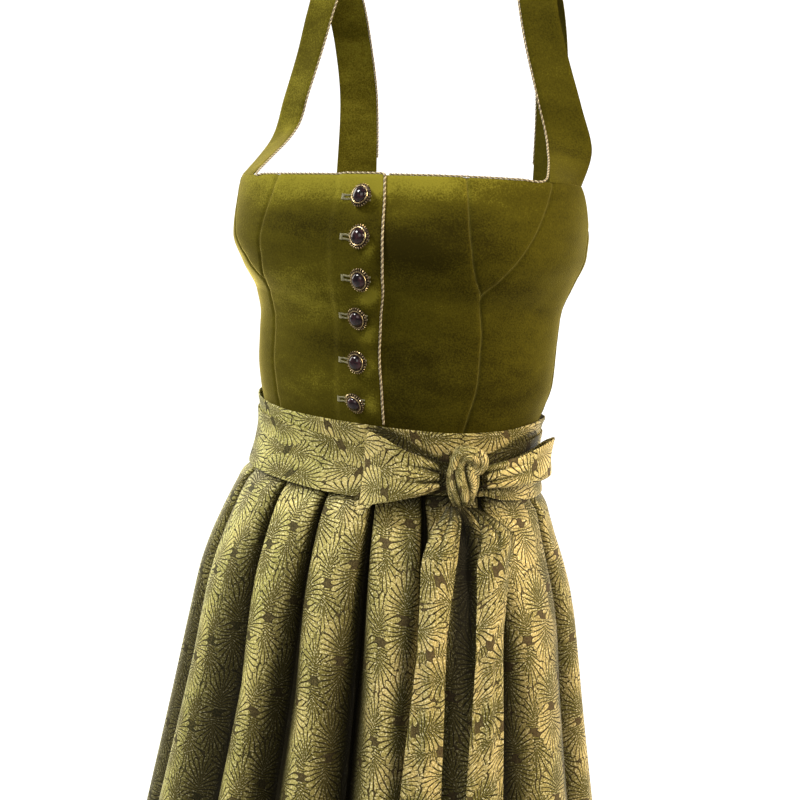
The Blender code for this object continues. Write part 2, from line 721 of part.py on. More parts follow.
def makeButtons(metal, stone):
    rim = [(0.0, 0.0), (SHANK_RADIUS, 0.0), (SHANK_RADIUS, 0.0022), (0.0085, 0.0026), (BUTTON_RADIUS, 0.0040),
           (0.0088, 0.0060), (0.0066, 0.0058), (0.0064, 0.0042), (0.0, 0.0042)]
    dome = [(0.0, 0.0045), (0.0060, 0.0045), (0.0060, 0.0058), (0.0047, 0.0078), (0.0025, 0.0090),
            (0.0, 0.0094)]
    top = PLACKET_LIFT + BODICE_WALL
    for i, (z, angle) in enumerate(zip(BUTTON_HEIGHTS, BUTTON_ANGLES)):
        outward = (bodyPoint(angle, z, MM) - bodyPoint(angle, z)).normalized()
        facing = Matrix.Rotation(BUTTON_TILT, 3, "Z") @ outward
        turn = Vector((0.0, 0.0, 1.0)).rotation_difference(facing)
        tipped = SHANK_RADIUS * abs(math.sin(BUTTON_TILT))
        base = panelSpot(angle, z, top) + outward * SEAM_GAP + facing * tipped

        def place(point):
            return base + turn @ point

        turnedPart(f"button_rim_{i + 1}", rim, BUTTON_SIDES, place, metal)
        turnedPart(f"button_stone_{i + 1}", dome, BUTTON_SIDES, place, stone)


def makeBand(jacquard):
    columns = round(2 * APRON_END / ROUND_STEP)
    rows = 5
    inner, outer = [], []
    angles = [-APRON_END + 2 * APRON_END * c / columns for c in range(columns + 1)]
    tops = [smoothTable(BAND_TOP, angle)[0] for angle in angles]
    for r in range(rows + 1):
        heights = [top + (BAND_BOTTOM - top) * r / rows for top in tops]
        inner.append([bodyPoint(a, z, BAND_INNER) for a, z in zip(angles, heights)])
        outer.append([bodyPoint(a, z, BAND_INNER + BAND_WALL) for a, z in zip(angles, heights)])
    wallPart("apron_waistband", inner, outer, jacquard)


def tiePart(name, table, jacquard):
    """Tie round the back and over the band, its edges and its layer by angle."""
    start, end = sorted((table[0][0], table[-1][0]))
    first, last = math.ceil(start / ROUND_STEP), math.floor(end / ROUND_STEP)
    angles = [start] + [ROUND_STEP * k for k in range(first, last + 1)] + [end]
    inner, outer = [], []
    for share in (0.0, 0.2, 0.4, 0.6, 0.8, 1.0):
        inside, outside = [], []
        for angle in angles:
            top, bottom, layer = smoothTable(table, angle)
            z = top + (bottom - top) * share
            out = BAND_INNER + (TIE_INNER - BAND_INNER) * layer
            inside.append(bodyPoint(angle, z, out))
            outside.append(bodyPoint(angle, z, out + TIE_WALL))
        inner.append(inside)
        outer.append(outside)
    wallPart(name, inner, outer, jacquard)


def makeTies(jacquard):
    tiePart("apron_tie_right", TIE_RIGHT, jacquard)
    tiePart("apron_tie_left", TIE_LEFT, jacquard)


def pleatEdges(count, start, end, unevenness, phase):
    """Angles of the valleys of uneven pleats between two ends."""
    widths = [1 + unevenness * math.sin(phase + 2.4 * i) for i in range(count)]
    edges = [start]
    for width in widths:
        edges.append(edges[-1] + (end - start) * width / sum(widths))
    return edges


def levelNormals(row):
    """Outward level normals of a row of points that runs by rising angle."""
    normals = []
    for c in range(len(row)):
        along = row[min(c + 1, len(row) - 1)] - row[max(c - 1, 0)]
        normals.append(Vector((along.y, -along.x, 0.0)).normalized())
    return normals


def makeApron(jacquard):
    inner, outer = [], []
    for z in APRON_ROWS:
        depth = smoothTable(SKIRT, z)[3]
        opening = max(0.0, min(1.0, (PLEATS_PRESSED - z) / (PLEATS_PRESSED - PLEATS_OPEN))) ** 0.8
        edges = [pressed + (opened - pressed) * opening for pressed, opened in APRON_VALLEYS]
        middle = []
        for i, (left, right) in enumerate(zip(edges, edges[1:])):
            deep = depth * (1 + PLEAT_UNEVENNESS * math.sin(2.1 * i + 0.7))
            for pressed, pressedDepth, opened, openDepth in PLEAT_SHAPE:
                share = pressed + (opened - pressed) * opening
                rise = pressedDepth + (openDepth - pressedDepth) * opening
                crest, outward, around = skirtFrame(left + (right - left) * (share + 0.5), z)
                middle.append(crest - outward * deep * (1 - rise))
        crest, outward, around = skirtFrame(edges[-1], z)
        middle.append(crest - outward * depth)
        normals = levelNormals(middle)
        inner.append([p - n * APRON_WALL / 2 for p, n in zip(middle, normals)])
        outer.append([p + n * APRON_WALL / 2 for p, n in zip(middle, normals)])
    wallPart("apron_panel", inner, outer, jacquard)


def underShare(angle):
    """1 where the skirt lies below the apron, 0 where it is free at the back."""
    turn = abs((angle + 180.0) % 360.0 - 180.0)
    share = max(0.0, min(1.0, (turn - UNDER_START) / UNDER_FADE))
    return 1 - share * share * (3 - 2 * share)


def makeSkirt(cloth):
    seam = SIDE_SEAM
    panels = (
        ("skirt_front", -seam, seam, SKIRT_FRONT_PLEATS, 0.38),
        ("skirt_back", seam, 360.0 - seam, SKIRT_BACK_PLEATS, 1.0),
    )
    for name, start, end, count, fullness in panels:
        edges = pleatEdges(count, start, end, 0.12, 0.4)
        inner, outer = [], []
        for row, z in enumerate(SKIRT_ROWS):
            gather, under = smoothTable(SKIRT, z)[4:6]
            middle = []
            for i in range(count):
                for k in range(GATHER_COLUMNS):
                    share = k / GATHER_COLUMNS
                    angle = edges[i] + (edges[i + 1] - edges[i]) * share
                    middle.append(skirtPoint(angle, z, share, gather, under, fullness))
            middle.append(skirtPoint(edges[-1], z, 0.0, gather, under, fullness))
            if row == 0:
                turns = [edges[0] + (edges[-1] - edges[0]) * c / (len(middle) - 1)
                         for c in range(len(middle))]
                middle = [bodyPoint(angle, z, SKIRT_WALL / 2) for angle in turns]
            normals = levelNormals(middle)
            for last, side in ((0, 1), (-1, -1)):
                crest, outward, around = skirtFrame(edges[last], z)
                normals[last] = outward
                middle[last] = middle[last] + around * (side * SEAM_GAP / 2)
            inner.append([p - n * SKIRT_WALL / 2 for p, n in zip(middle, normals)])
            outer.append([p + n * SKIRT_WALL / 2 for p, n in zip(middle, normals)])
        wallPart(name, inner, outer, cloth)


def skirtPoint(angle, z, share, gather, under, fullness):
    """Middle of the skirt's wall: rounded gathers, held in where the apron covers them."""
    crest, outward, around = skirtFrame(angle, z)
    covered = underShare(angle)
    wave = math.sin(math.pi * share) ** 1.2
    depth = gather * (fullness + (0.30 - fullness) * covered)
    inset = under * covered + depth * (1 - wave) + SKIRT_WALL
    sway = -0.10 * depth * math.sin(4 * math.pi * share)
    return crest - outward * inset + around * sway


def tieSurface(angle, z, out):
    return bodyPoint(angle, z, TIE_INNER + TIE_WALL + out)


def makeLoops(jacquard):
    """Each loop is a ribbon from the knot out to the fold and back behind itself."""
    for name, table in (("bow_loop_right", LOOP_RIGHT_SIDE), ("bow_loop_left", LOOP_LEFT_SIDE)):
        grid = []
        for share in (0.0, 0.25, 0.5, 0.75, 1.0):
            belly = LOOP_BELLY * math.sin(math.pi * share)
            stations = [tieSurface(angle, top + (bottom - top) * share, out + belly)
                        for angle, out, top, bottom in table]
            grid.append(curveThrough(stations, 2))
        if table is LOOP_LEFT_SIDE:
            grid = [row[::-1] for row in grid]
        wallPart(name, grid, movedGrid(grid, TIE_WALL), jacquard)


def knotFrame():
    """Middle of the knot, and its directions round the body, outwards and up."""
    centre = bodyPoint(KNOT_ANGLE, KNOT_HEIGHT, KNOT_OUT)
    outward = (bodyPoint(KNOT_ANGLE, KNOT_HEIGHT, KNOT_OUT + MM) - centre).normalized()
    around = Vector((outward.y, -outward.x, 0.0)).normalized()
    return centre, around, outward, around.cross(outward)


def makeKnot(jacquard):
    """Knot: a wrapped lump, wider at the middle, with flattened back."""
    centre, around, outward, up = knotFrame()
    points, faces = [], []
    rings, sides = 8, 12
    points.append(centre - up * KNOT_TALL / 2)
    for r in range(1, rings):
        lift = -math.cos(math.pi * r / rings)
        girth = math.sin(math.pi * r / rings) ** 0.6
        for k in range(sides):
            turn = 2 * math.pi * k / sides
            c, s = math.cos(turn), math.sin(turn)
            x = math.copysign(abs(c) ** 0.8, c) * girth * KNOT_WIDTH / 2
            y = math.copysign(abs(s) ** 0.8, s) * girth * KNOT_DEEP / 2
            points.append(centre + around * x + outward * y + up * (lift * KNOT_TALL / 2))
    points.append(centre + up * KNOT_TALL / 2)
    for k in range(sides):
        n = (k + 1) % sides
        faces.append((0, 1 + n, 1 + k))
        for r in range(rings - 2):
            base = 1 + r * sides
            faces.append((base + k, base + n, base + sides + n, base + sides + k))
        base = 1 + (rings - 2) * sides
        faces.append((base + k, base + n, len(points) - 1))
    addPart("bow_knot", points, faces, jacquard)


def tailStart(side):
    """First row of a tail, gathered to a narrow strip right below the knot."""
    centre, around, outward, up = knotFrame()
    away = around if around.x > 0 else -around
    base = centre - up * (KNOT_TALL / 2 + 0.2 * MM) + away * (side * TAIL_START)
    shares = [2 * c / TAIL_COLUMNS - 1 for c in range(TAIL_COLUMNS + 1)]
    return [base + away * (TAIL_START / 2 * share) for share in shares]


def makeTails(jacquard):
    tails = (("bow_tail_right", TAIL_RIGHT_SIDE, -1), ("bow_tail_left", TAIL_LEFT_SIDE, 1))
    for name, table, side in tails:
        heights = [row[0] for row in table]
        rows = []
        for a, b in zip(heights, heights[1:]):
            rows += [a, (a + b) / 2]
        rows.append(heights[-1])
        grid = [tailStart(side)]
        for z in rows:
            angle, out, half, fold = smoothTable(table, z)
            crest, outward, around = skirtFrame(angle, z)
            line = []
            for c in range(TAIL_COLUMNS + 1):
                share = 2 * c / TAIL_COLUMNS - 1
                hump = (1 - abs(share)) * fold
                line.append(crest + outward * (out + APRON_WALL + hump) + around * (half * share))
            grid.append(line)
        wallPart(name, grid, movedGrid(grid, TIE_WALL), jacquard)


def makeDress():
    for item in list(bpy.data.objects):
        bpy.data.objects.remove(item, do_unlink=True)
    velvet = clothMaterial("olive_velvet", (0.20, 0.19, 0.035), 0.85)
    cotton = clothMaterial("olive_skirt_cloth", (0.16, 0.16, 0.05), 0.80)
    jacquard = clothMaterial("leaf_jacquard", (0.34, 0.31, 0.15), 0.55)
    cord = clothMaterial("gold_cord", (0.50, 0.42, 0.20), 0.50)
    metal = clothMaterial("old_gold", (0.62, 0.52, 0.30), 0.35, 1.0)
    stone = clothMaterial("dark_stone", (0.02, 0.008, 0.008), 0.12)
    makeBodice(velvet)
    makeStraps(velvet)
    makePiping(cord)
    makeButtons(metal, stone)
    makeBand(jacquard)
    makeTies(jacquard)
    makeApron(jacquard)
    makeSkirt(cotton)
    makeKnot(jacquard)
    makeLoops(jacquard)
    makeTails(jacquard)


makeDress()
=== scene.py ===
import math
from functools import partial

import bmesh
import bpy
import numpy as np
from mathutils import Matrix, Vector


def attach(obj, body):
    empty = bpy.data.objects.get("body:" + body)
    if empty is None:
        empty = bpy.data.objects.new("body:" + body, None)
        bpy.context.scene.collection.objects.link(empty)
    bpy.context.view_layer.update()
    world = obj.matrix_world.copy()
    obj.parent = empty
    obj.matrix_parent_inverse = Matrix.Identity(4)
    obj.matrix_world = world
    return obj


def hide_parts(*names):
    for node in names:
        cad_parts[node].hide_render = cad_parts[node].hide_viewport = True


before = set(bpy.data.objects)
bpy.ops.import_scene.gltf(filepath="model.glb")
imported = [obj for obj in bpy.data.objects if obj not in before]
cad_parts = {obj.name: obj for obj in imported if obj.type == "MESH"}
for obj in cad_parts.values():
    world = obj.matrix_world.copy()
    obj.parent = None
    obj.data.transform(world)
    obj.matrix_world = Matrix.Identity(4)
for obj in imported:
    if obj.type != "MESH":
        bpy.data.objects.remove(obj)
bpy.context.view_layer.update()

# Everything is in metres. An angle goes round the body in degrees: 0 at centre front,
# plus towards the wearer's left. Heights are z, with 0 at the tops of the straps.

print("tables of the dress")

bodySettings = {
    # inner face of the bodice: z, half width, front depth, back depth, squareness, shift
    "sections": [
        (-0.12, 0.144, 0.088, 0.096, 2.3, -0.002), (-0.15, 0.1465, 0.099, 0.098, 2.3, -0.0025),
        (-0.185, 0.15, 0.111, 0.099, 2.4, -0.003), (-0.222, 0.149, 0.119, 0.098, 2.5, -0.003),
        (-0.245, 0.1412, 0.1155, 0.096, 2.35, -0.0028),
        (-0.268, 0.1335, 0.1055, 0.093, 2.1, -0.0022),
        (-0.29, 0.1305, 0.0985, 0.09, 2.12, -0.0006),
        (-0.33, 0.1293, 0.0925, 0.086, 2.3, -0.0009), (-0.35, 0.1255, 0.089, 0.083, 2.3, -0.0022),
        (-0.366, 0.122, 0.0855, 0.08, 2.25, -0.0032),
        (-0.386, 0.1205, 0.084, 0.0785, 2.2, -0.0038),
        (-0.402, 0.1222, 0.0855, 0.081, 2.2, -0.004),
        (-0.424, 0.1268, 0.0905, 0.086, 2.2, -0.0045),
        (-0.43, 0.1284, 0.0921, 0.0876, 2.2, -0.0046)],
    # share of the way down a panel, then the angles of the princess seam and the cup's seam
    "seams": [
        (0.0, 39.4, 67.4), (0.08, 39.6, 64.6), (0.17, 39.8, 60.7), (0.26, 41.0, 55.6),
        (0.34, 43.6, 51.2), (0.402, 47.0, 47.0), (0.47, 49.2, 49.2), (0.56, 50.8, 50.8),
        (0.7, 51.0, 51.0), (0.84, 50.4, 50.4), (0.92, 50.4, 50.4), (1.0, 50.6, 50.6)],
    # z of the right front's edge and its distance from the middle
    "placketLine": [
        (-0.168, 0.0172), (-0.19, 0.0212), (-0.23, 0.025), (-0.25, 0.0244), (-0.274, 0.02),
        (-0.303, 0.0178), (-0.34, 0.02), (-0.388, 0.0216)],
    "jointDown": 0.402, "sideSeam": 94.0, "backSeam": 154.0, "turned": 1.6,
    "neck": -0.17, "neckTilt": 0.004, "backNeck": -0.166, "armhole": 0.042, "waist": -0.3865,
    "strapLeft": (67.8, 84.0), "strapRight": (53.0, 72.0), "strapBack": (139.0, 123.0),
    "underlapEdge": -0.013, "placketLift": 0.0019,
    "rows": (46, 62), "wall": 0.0016, "seamWidth": 0.0019, "seamDepth": 0.001, "edgeGap": 0.0001}

skirtSettings = {
    # crest: z, half width, front and back depth, pleat depth, gather depth,
    # room below the apron, shift
    "sections": [
        (-0.387, 0.1235, 0.088, 0.082, 0.002, 0.001, 0.0002, -0.0038),
        (-0.417, 0.129, 0.0927, 0.0882, 0.007, 0.0026, 0.0095, -0.0044),
        (-0.426, 0.132, 0.0951, 0.0906, 0.0085, 0.004, 0.0112, -0.0046),
        (-0.433, 0.1385, 0.1003, 0.0972, 0.0105, 0.0056, 0.0135, -0.005),
        (-0.445, 0.1435, 0.1075, 0.107, 0.0125, 0.008, 0.0155, -0.0055),
        (-0.47, 0.1535, 0.119, 0.12, 0.016, 0.011, 0.0195, -0.0062),
        (-0.497, 0.1635, 0.13, 0.133, 0.0195, 0.014, 0.023, -0.0064),
        (-0.525, 0.1715, 0.139, 0.144, 0.0225, 0.0165, 0.026, -0.0062),
        (-0.565, 0.1785, 0.149, 0.156, 0.025, 0.0185, 0.0285, -0.0058),
        (-0.65, 0.193, 0.166, 0.175, 0.027, 0.0205, 0.0305, -0.0055),
        (-0.8, 0.22, 0.196, 0.207, 0.029, 0.023, 0.0325, -0.005),
        (-1.06, 0.265, 0.244, 0.257, 0.031, 0.026, 0.0345, -0.005)],
    "square": 2.2, "top": -0.387, "hem": -1.058, "wall": 0.0013, "inset": 0.0015,
    # the rows are closer above this height; the back is flatter between these angles
    "fineBelow": -0.455, "fineRows": 18, "underApron": (125.0, 141.0),
    "frontGathers": 5, "backGathers": 11, "frontFullness": 0.38, "coveredFullness": 0.3,
    "lean": 0.0018, "columns": 22, "rows": 70}


def makeCurve(rows):
    rows = sorted(rows)
    x = np.array([row[0] for row in rows])
    y = np.array([row[1:] for row in rows], dtype=float)
    slope = np.diff(y, axis=0) / np.diff(x)[:, None]
    tangent = np.zeros_like(y)
    tangent[0], tangent[-1] = slope[0], slope[-1]
    before, after = slope[:-1], slope[1:]
    same = before * after > 0
    total = np.where(same, before + after, 1.0)
    tangent[1:-1] = np.where(same, 2 * before * after / total, 0.0)
    return {"x": x, "y": y, "tangent": tangent}


def curveAt(curve, key):
    # rows of a table at any keys, by a smooth curve that doesn't overshoot
    x, y, tangent = curve["x"], curve["y"], curve["tangent"]
    key = np.clip(np.asarray(key, dtype=float), x[0], x[-1])
    low = np.clip(np.searchsorted(x, key, side="right") - 1, 0, len(x) - 2)
    step = (x[low + 1] - x[low])[..., None]
    share = (key - x[low])[..., None] / step
    ease = share * share * (3 - 2 * share)
    bend = tangent[low] * step * share * (1 - share) ** 2
    unbend = tangent[low + 1] * step * share ** 2 * (1 - share)
    return y[low] * (1 - ease) + y[low + 1] * ease + bend - unbend


bodyCurve = makeCurve(bodySettings["sections"])
seamCurve = makeCurve(bodySettings["seams"])
placketCurve = makeCurve(bodySettings["placketLine"])
skirtCurve = makeCurve(skirtSettings["sections"])


def sectionPoints(angle, z, half, front, back, square, shift):
    turn = np.radians(angle)
    depth = np.where(np.cos(turn) > 0, front, back)
    across = (np.abs(np.sin(turn)) / half) ** square
    along = (np.abs(np.cos(turn)) / depth) ** square
    radius = (across + along) ** (-1 / square)
    return np.stack([radius * np.sin(turn) + shift, -radius * np.cos(turn), z + 0 * turn], -1)


def bodyPoints(angle, z, out=0.0):
    angle, z = np.broadcast_arrays(np.asarray(angle, float), np.asarray(z, float))

    def face(a, height):
        values = curveAt(bodyCurve, height)
        return sectionPoints(a, height, *[values[..., k] for k in range(5)])

    here = face(angle, z)
    around = face(angle + 0.5, z) - face(angle - 0.5, z)
    down = face(angle, z - 0.001) - face(angle, z + 0.001)
    normal = np.cross(down, around)
    normal /= np.linalg.norm(normal, axis=-1, keepdims=True)
    return here + normal * np.asarray(out, float)[..., None]


def skirtFrames(angle, z):
    angle, z = np.broadcast_arrays(np.asarray(angle, float), np.asarray(z, float))
    values = curveAt(skirtCurve, z)
    sizes = [values[..., k] for k in range(3)] + [skirtSettings["square"], values[..., 6]]
    here = sectionPoints(angle, z, *sizes)
    around = sectionPoints(angle + 0.5, z, *sizes) - sectionPoints(angle - 0.5, z, *sizes)
    around /= np.linalg.norm(around, axis=-1, keepdims=True)
    outward = np.stack([around[..., 1], -around[..., 0], 0 * around[..., 0]], -1)
    return here, outward, around


def wrapped(angle):
    return (angle + 180.0) % 360.0 - 180.0


def topHeights(angle):
    s = bodySettings
    angle = np.asarray(angle, float)
    signed = wrapped(angle)
    neck = s["neck"] + s["neckTilt"] * np.sin(np.radians(angle))
    start = np.where(signed > 0, s["strapLeft"][1], s["strapRight"][1])
    share = np.clip((np.abs(signed) - start) / (s["strapBack"][1] - start), 0, 1)
    scoop = s["armhole"] * np.sin(np.pi * share) ** 1.3
    return neck + (s["backNeck"] - neck) * share - scoop


def rowHeights(angle, down):
    top = topHeights(angle)
    return top + (bodySettings["waist"] - top) * down


def placketEdge(z):
    # distance of the right front's edge from the middle, at a height
    return curveAt(placketCurve, z)[..., 0]


def edgeAngle(x, z):
    # angle at which the front of the bodice is a distance x from centre front
    x, z = np.broadcast_arrays(np.asarray(x, float), np.asarray(z, float))
    low, high = np.full(x.shape, -40.0), np.full(x.shape, 40.0)
    for _ in range(26):
        middle = (low + high) / 2
        short = bodyPoints(middle, z)[..., 0] < x
        low, high = np.where(short, middle, low), np.where(short, high, middle)
    return low


def smoothStep(value, low, high):
    share = np.clip((np.asarray(value, float) - low) / (high - low), 0, 1)
    return share * share * (3 - 2 * share)


def gridNormals(mid):
    normal = np.cross(np.gradient(mid, axis=0), np.gradient(mid, axis=1))
    return normal / np.maximum(np.linalg.norm(normal, axis=-1, keepdims=True), 1e-12)


def lengthsAlong(points):
    # running length along the last run of points
    steps = np.linalg.norm(np.diff(points, axis=-2), axis=-1)
    start = np.zeros(steps.shape[:-1] + (1,))
    return np.concatenate([start, np.cumsum(steps, axis=-1)], -1)


def lengthsDown(grid):
    return lengthsAlong(np.swapaxes(grid, 0, 1)).T


def linkMesh(name, points, faces, material, uv=None, sharp=50.0, fixNormals=True):
    mesh = bpy.data.meshes.new(name)
    mesh.from_pydata(np.asarray(points).tolist(), [], faces)
    if uv is not None:
        layer = mesh.uv_layers.new(name="clothMap")
        corners = np.empty(len(mesh.loops), dtype=np.int32)
        mesh.loops.foreach_get("vertex_index", corners)
        layer.data.foreach_set("uv", np.asarray(uv)[corners].ravel())
    if fixNormals:
        work = bmesh.new()
        work.from_mesh(mesh)
        bmesh.ops.recalc_face_normals(work, faces=work.faces)
        work.to_mesh(mesh)
        work.free()
    mesh.shade_smooth()
    mesh.set_sharp_from_angle(angle=math.radians(sharp))
    for item in material if isinstance(material, list) else [material]:
        mesh.materials.append(item)
    piece = bpy.data.objects.new(name, mesh)
    bpy.context.collection.objects.link(piece)
    return piece


pinchedEdge = 0.55  # how much of a sheet's thickness is left at its edge


def gridFaces(rows, columns, start=0, flip=False):
    r, c = np.meshgrid(np.arange(rows - 1), np.arange(columns - 1), indexing="ij")
    a = (start + r * columns + c).ravel()
    quads = np.stack([a, a + columns, a + columns + 1, a + 1], -1)
    return (quads[:, ::-1] if flip else quads).tolist()


def sheetPiece(name, mid, wall, uv, material):
    # thin closed cloth along a grid of points, rows going down and columns going round
    rows, columns = mid.shape[:2]
    normal = gridNormals(mid)
    pinch = np.full((rows, columns, 1), pinchedEdge)
    pinch[1:-1, 1:-1] = 1.0
    outer = mid + normal * pinch * wall / 2
    inner = mid - normal * pinch * wall / 2
    points = np.concatenate([outer.reshape(-1, 3), inner.reshape(-1, 3)])
    count = rows * columns
    faces = gridFaces(rows, columns) + gridFaces(rows, columns, count, flip=True)
    order = np.arange(count).reshape(rows, columns)
    rim = [order[0], order[1:, -1], order[-1, -2::-1], order[-2:0:-1, 0]]
    rim = np.concatenate(rim).tolist()
    for here, after in zip(rim, rim[1:] + rim[:1]):
        faces.append((here, after, after + count, here + count))
    return linkMesh(name, points, faces, material, np.concatenate([uv.reshape(-1, 2)] * 2))


def paintLayer(piece, name, values):
    # one value for each point, the same on both faces: painted shade of a fold, a seam's thread
    # and painted highlight, or the velvet's painted sheen
    layer = piece.data.attributes.new(name, "FLOAT", "POINT")
    values = np.resize(np.clip(values, -1, 1), len(piece.data.vertices))
    layer.data.foreach_set("value", values.astype(np.float32))


def dressPiece(piece, nodes):
    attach(piece, "root")
    if nodes:
        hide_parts(*nodes)
    return piece


def clothSheet(name, node, mid, wall, material, slotName, held, uv=None, **layers):
    # a sheet with its cloth map and painted layers, in place of its node
    if uv is None:
        uv = np.stack([lengthsAlong(mid), -lengthsDown(mid)], -1)
    piece = sheetPiece(name, mid, wall, uv, material)
    for key, values in layers.items():
        paintLayer(piece, key, np.broadcast_to(values, mid.shape[:2]))
    dressPiece(piece, [node])


print("materials")


def plug(tree, sockets, values):
    # a number or a colour is set on its socket, anything else is linked into it
    for socket, value in zip(sockets, values):
        if isinstance(value, (int, float)):
            socket.default_value = value
        elif isinstance(value, tuple):
            socket.default_value = (*value, 1.0)[:len(socket.default_value)]
        else:
            tree.links.new(value, socket)


def plugNamed(tree, node, **values):
    plug(tree, [node.inputs[key.replace("_", " ")] for key in values], values.values())
    return node


def nodeOf(tree, kind, *values, **settings):
    node = tree.nodes.new(kind)
    for key, value in settings.items():
        setattr(node, key, value)
    plug(tree, node.inputs, values)
    return node


def maths(tree, operation, *values, clamp=False):
    node = nodeOf(tree, "ShaderNodeMath", *values, operation=operation, use_clamp=clamp)
    return node.outputs[0]


def sumsIn(tree):
    # add, take, times, over and timesAdd as short calls in one tree
    kinds = ("ADD", "SUBTRACT", "MULTIPLY", "DIVIDE", "MULTIPLY_ADD")
    return [partial(maths, tree, kind) for kind in kinds]


def mixColours(tree, factor, first, second):
    node = nodeOf(tree, "ShaderNodeMix", data_type="RGBA")
    plug(tree, (node.inputs[0], node.inputs[6], node.inputs[7]), (factor, first, second))
    return node.outputs[2]


def spread(tree, value, low, high, toLow=0.0, toHigh=1.0):
    return nodeOf(tree, "ShaderNodeMapRange", value, low, high, toLow, toHigh,
                  interpolation_type="SMOOTHSTEP").outputs[0]


def noise(tree, vector, scale, detail=2.0, roughness=0.5, distortion=0.0, flat=False):
    node = nodeOf(tree, "ShaderNodeTexNoise", noise_dimensions="2D" if flat else "3D")
    plugNamed(tree, node, Vector=vector, Scale=scale, Detail=detail, Roughness=roughness,
              Distortion=distortion)
    return node.outputs["Fac"]


def scaledVector(tree, vector, scale):
    return nodeOf(tree, "ShaderNodeVectorMath", vector, scale, operation="MULTIPLY").outputs[0]


def objectPlace(tree):
    return nodeOf(tree, "ShaderNodeTexCoord").outputs["Object"]


def parts(tree, vector):
    return nodeOf(tree, "ShaderNodeSeparateXYZ", vector).outputs


def painted(tree, name):
    return nodeOf(tree, "ShaderNodeAttribute", attribute_name=name).outputs["Fac"]


def newMaterial(name, **values):
    material = bpy.data.materials.new(name)
    material.use_nodes = True
    tree = material.node_tree
    return material, tree, plugNamed(tree, tree.nodes["Principled BSDF"], **values)


def bumpInto(tree, shader, height, strength, distance):
    bump = plugNamed(tree, nodeOf(tree, "ShaderNodeBump"), Strength=strength,
                     Distance=distance, Height=height)
    plugNamed(tree, shader, Normal=bump.outputs[0])


def makeGroup(name, inputs, outputs):
    tree = bpy.data.node_groups.new(name, "ShaderNodeTree")
    for label, kind, value in inputs:
        socket = tree.interface.new_socket(
            name=label, in_out="INPUT", socket_type="NodeSocket" + kind)
        if value is not None:
            socket.default_value = value
    for label, kind in outputs:
        tree.interface.new_socket(
            name=label, in_out="OUTPUT", socket_type="NodeSocket" + kind)
    return tree, nodeOf(tree, "NodeGroupInput").outputs, nodeOf(tree, "NodeGroupOutput")


def useGroup(tree, group, **values):
    node = nodeOf(tree, "ShaderNodeGroup", node_tree=group)
    return plugNamed(tree, node, **values).outputs


pileSettings = {
    # stretch of the noise, its scale, detail, roughness and distortion, and its share
    "strokes": ((8.0, 8.0, 24.0), (1.3, 1.0, 0.5, 0.5), 0.4),
    "clouds": ((1.0, 1.0, 1.8), (55.0, 2.0, 0.55, 0.3), 0.26),
    "tufts": ((760.0, 1.0, 0.75), 0.52)}


def makePileGroup():
    # velvet's pile: broad strokes of brushed nap, small clouds and the grain of the tufts
    s = pileSettings
    tree, start, end = makeGroup(
        "pile", [("Vector", "Vector", None)], [("Tone", "Float"), ("Height", "Float")])
    take, timesAdd = sumsIn(tree)[1], sumsIn(tree)[4]
    tone = 0.5
    for stretch, grain, share in (s["strokes"], s["clouds"]):
        cloud = noise(tree, scaledVector(tree, start["Vector"], stretch), *grain)
        tone = timesAdd(take(cloud, 0.5), share, tone)
    grain, share = s["tufts"]
    tufts = noise(tree, start["Vector"], *grain)
    tone = timesAdd(take(tufts, 0.5), share, tone, clamp=True)
    plugNamed(tree, end, Tone=tone, Height=tufts)
    return tree


leafSettings = {
    # lengths of the stem and of the longest leaflet, leaflets, droop of their tips
    "stem": 0.0165, "longest": 0.0222, "density": 9.5, "outermost": 8.0, "droop": 15.0,
    "halfNear": 0.34, "halfFar": 0.37, "wobble": 0.003, "wobbleScale": 70.0,
    "sway": 0.15, "shorter": 0.42, "tipRound": 1.15,
    # fans from front to back: along, down, upright or hanging, lean, seed
    "fans": [(0.0, 0.06, 1.0, 0.06, 0.0), (0.0, 0.54, -1.0, -0.08, 3.0),
             (0.5, 0.3, 1.0, 0.1, 7.0), (0.5, 0.78, -1.0, -0.1, 11.0)]}


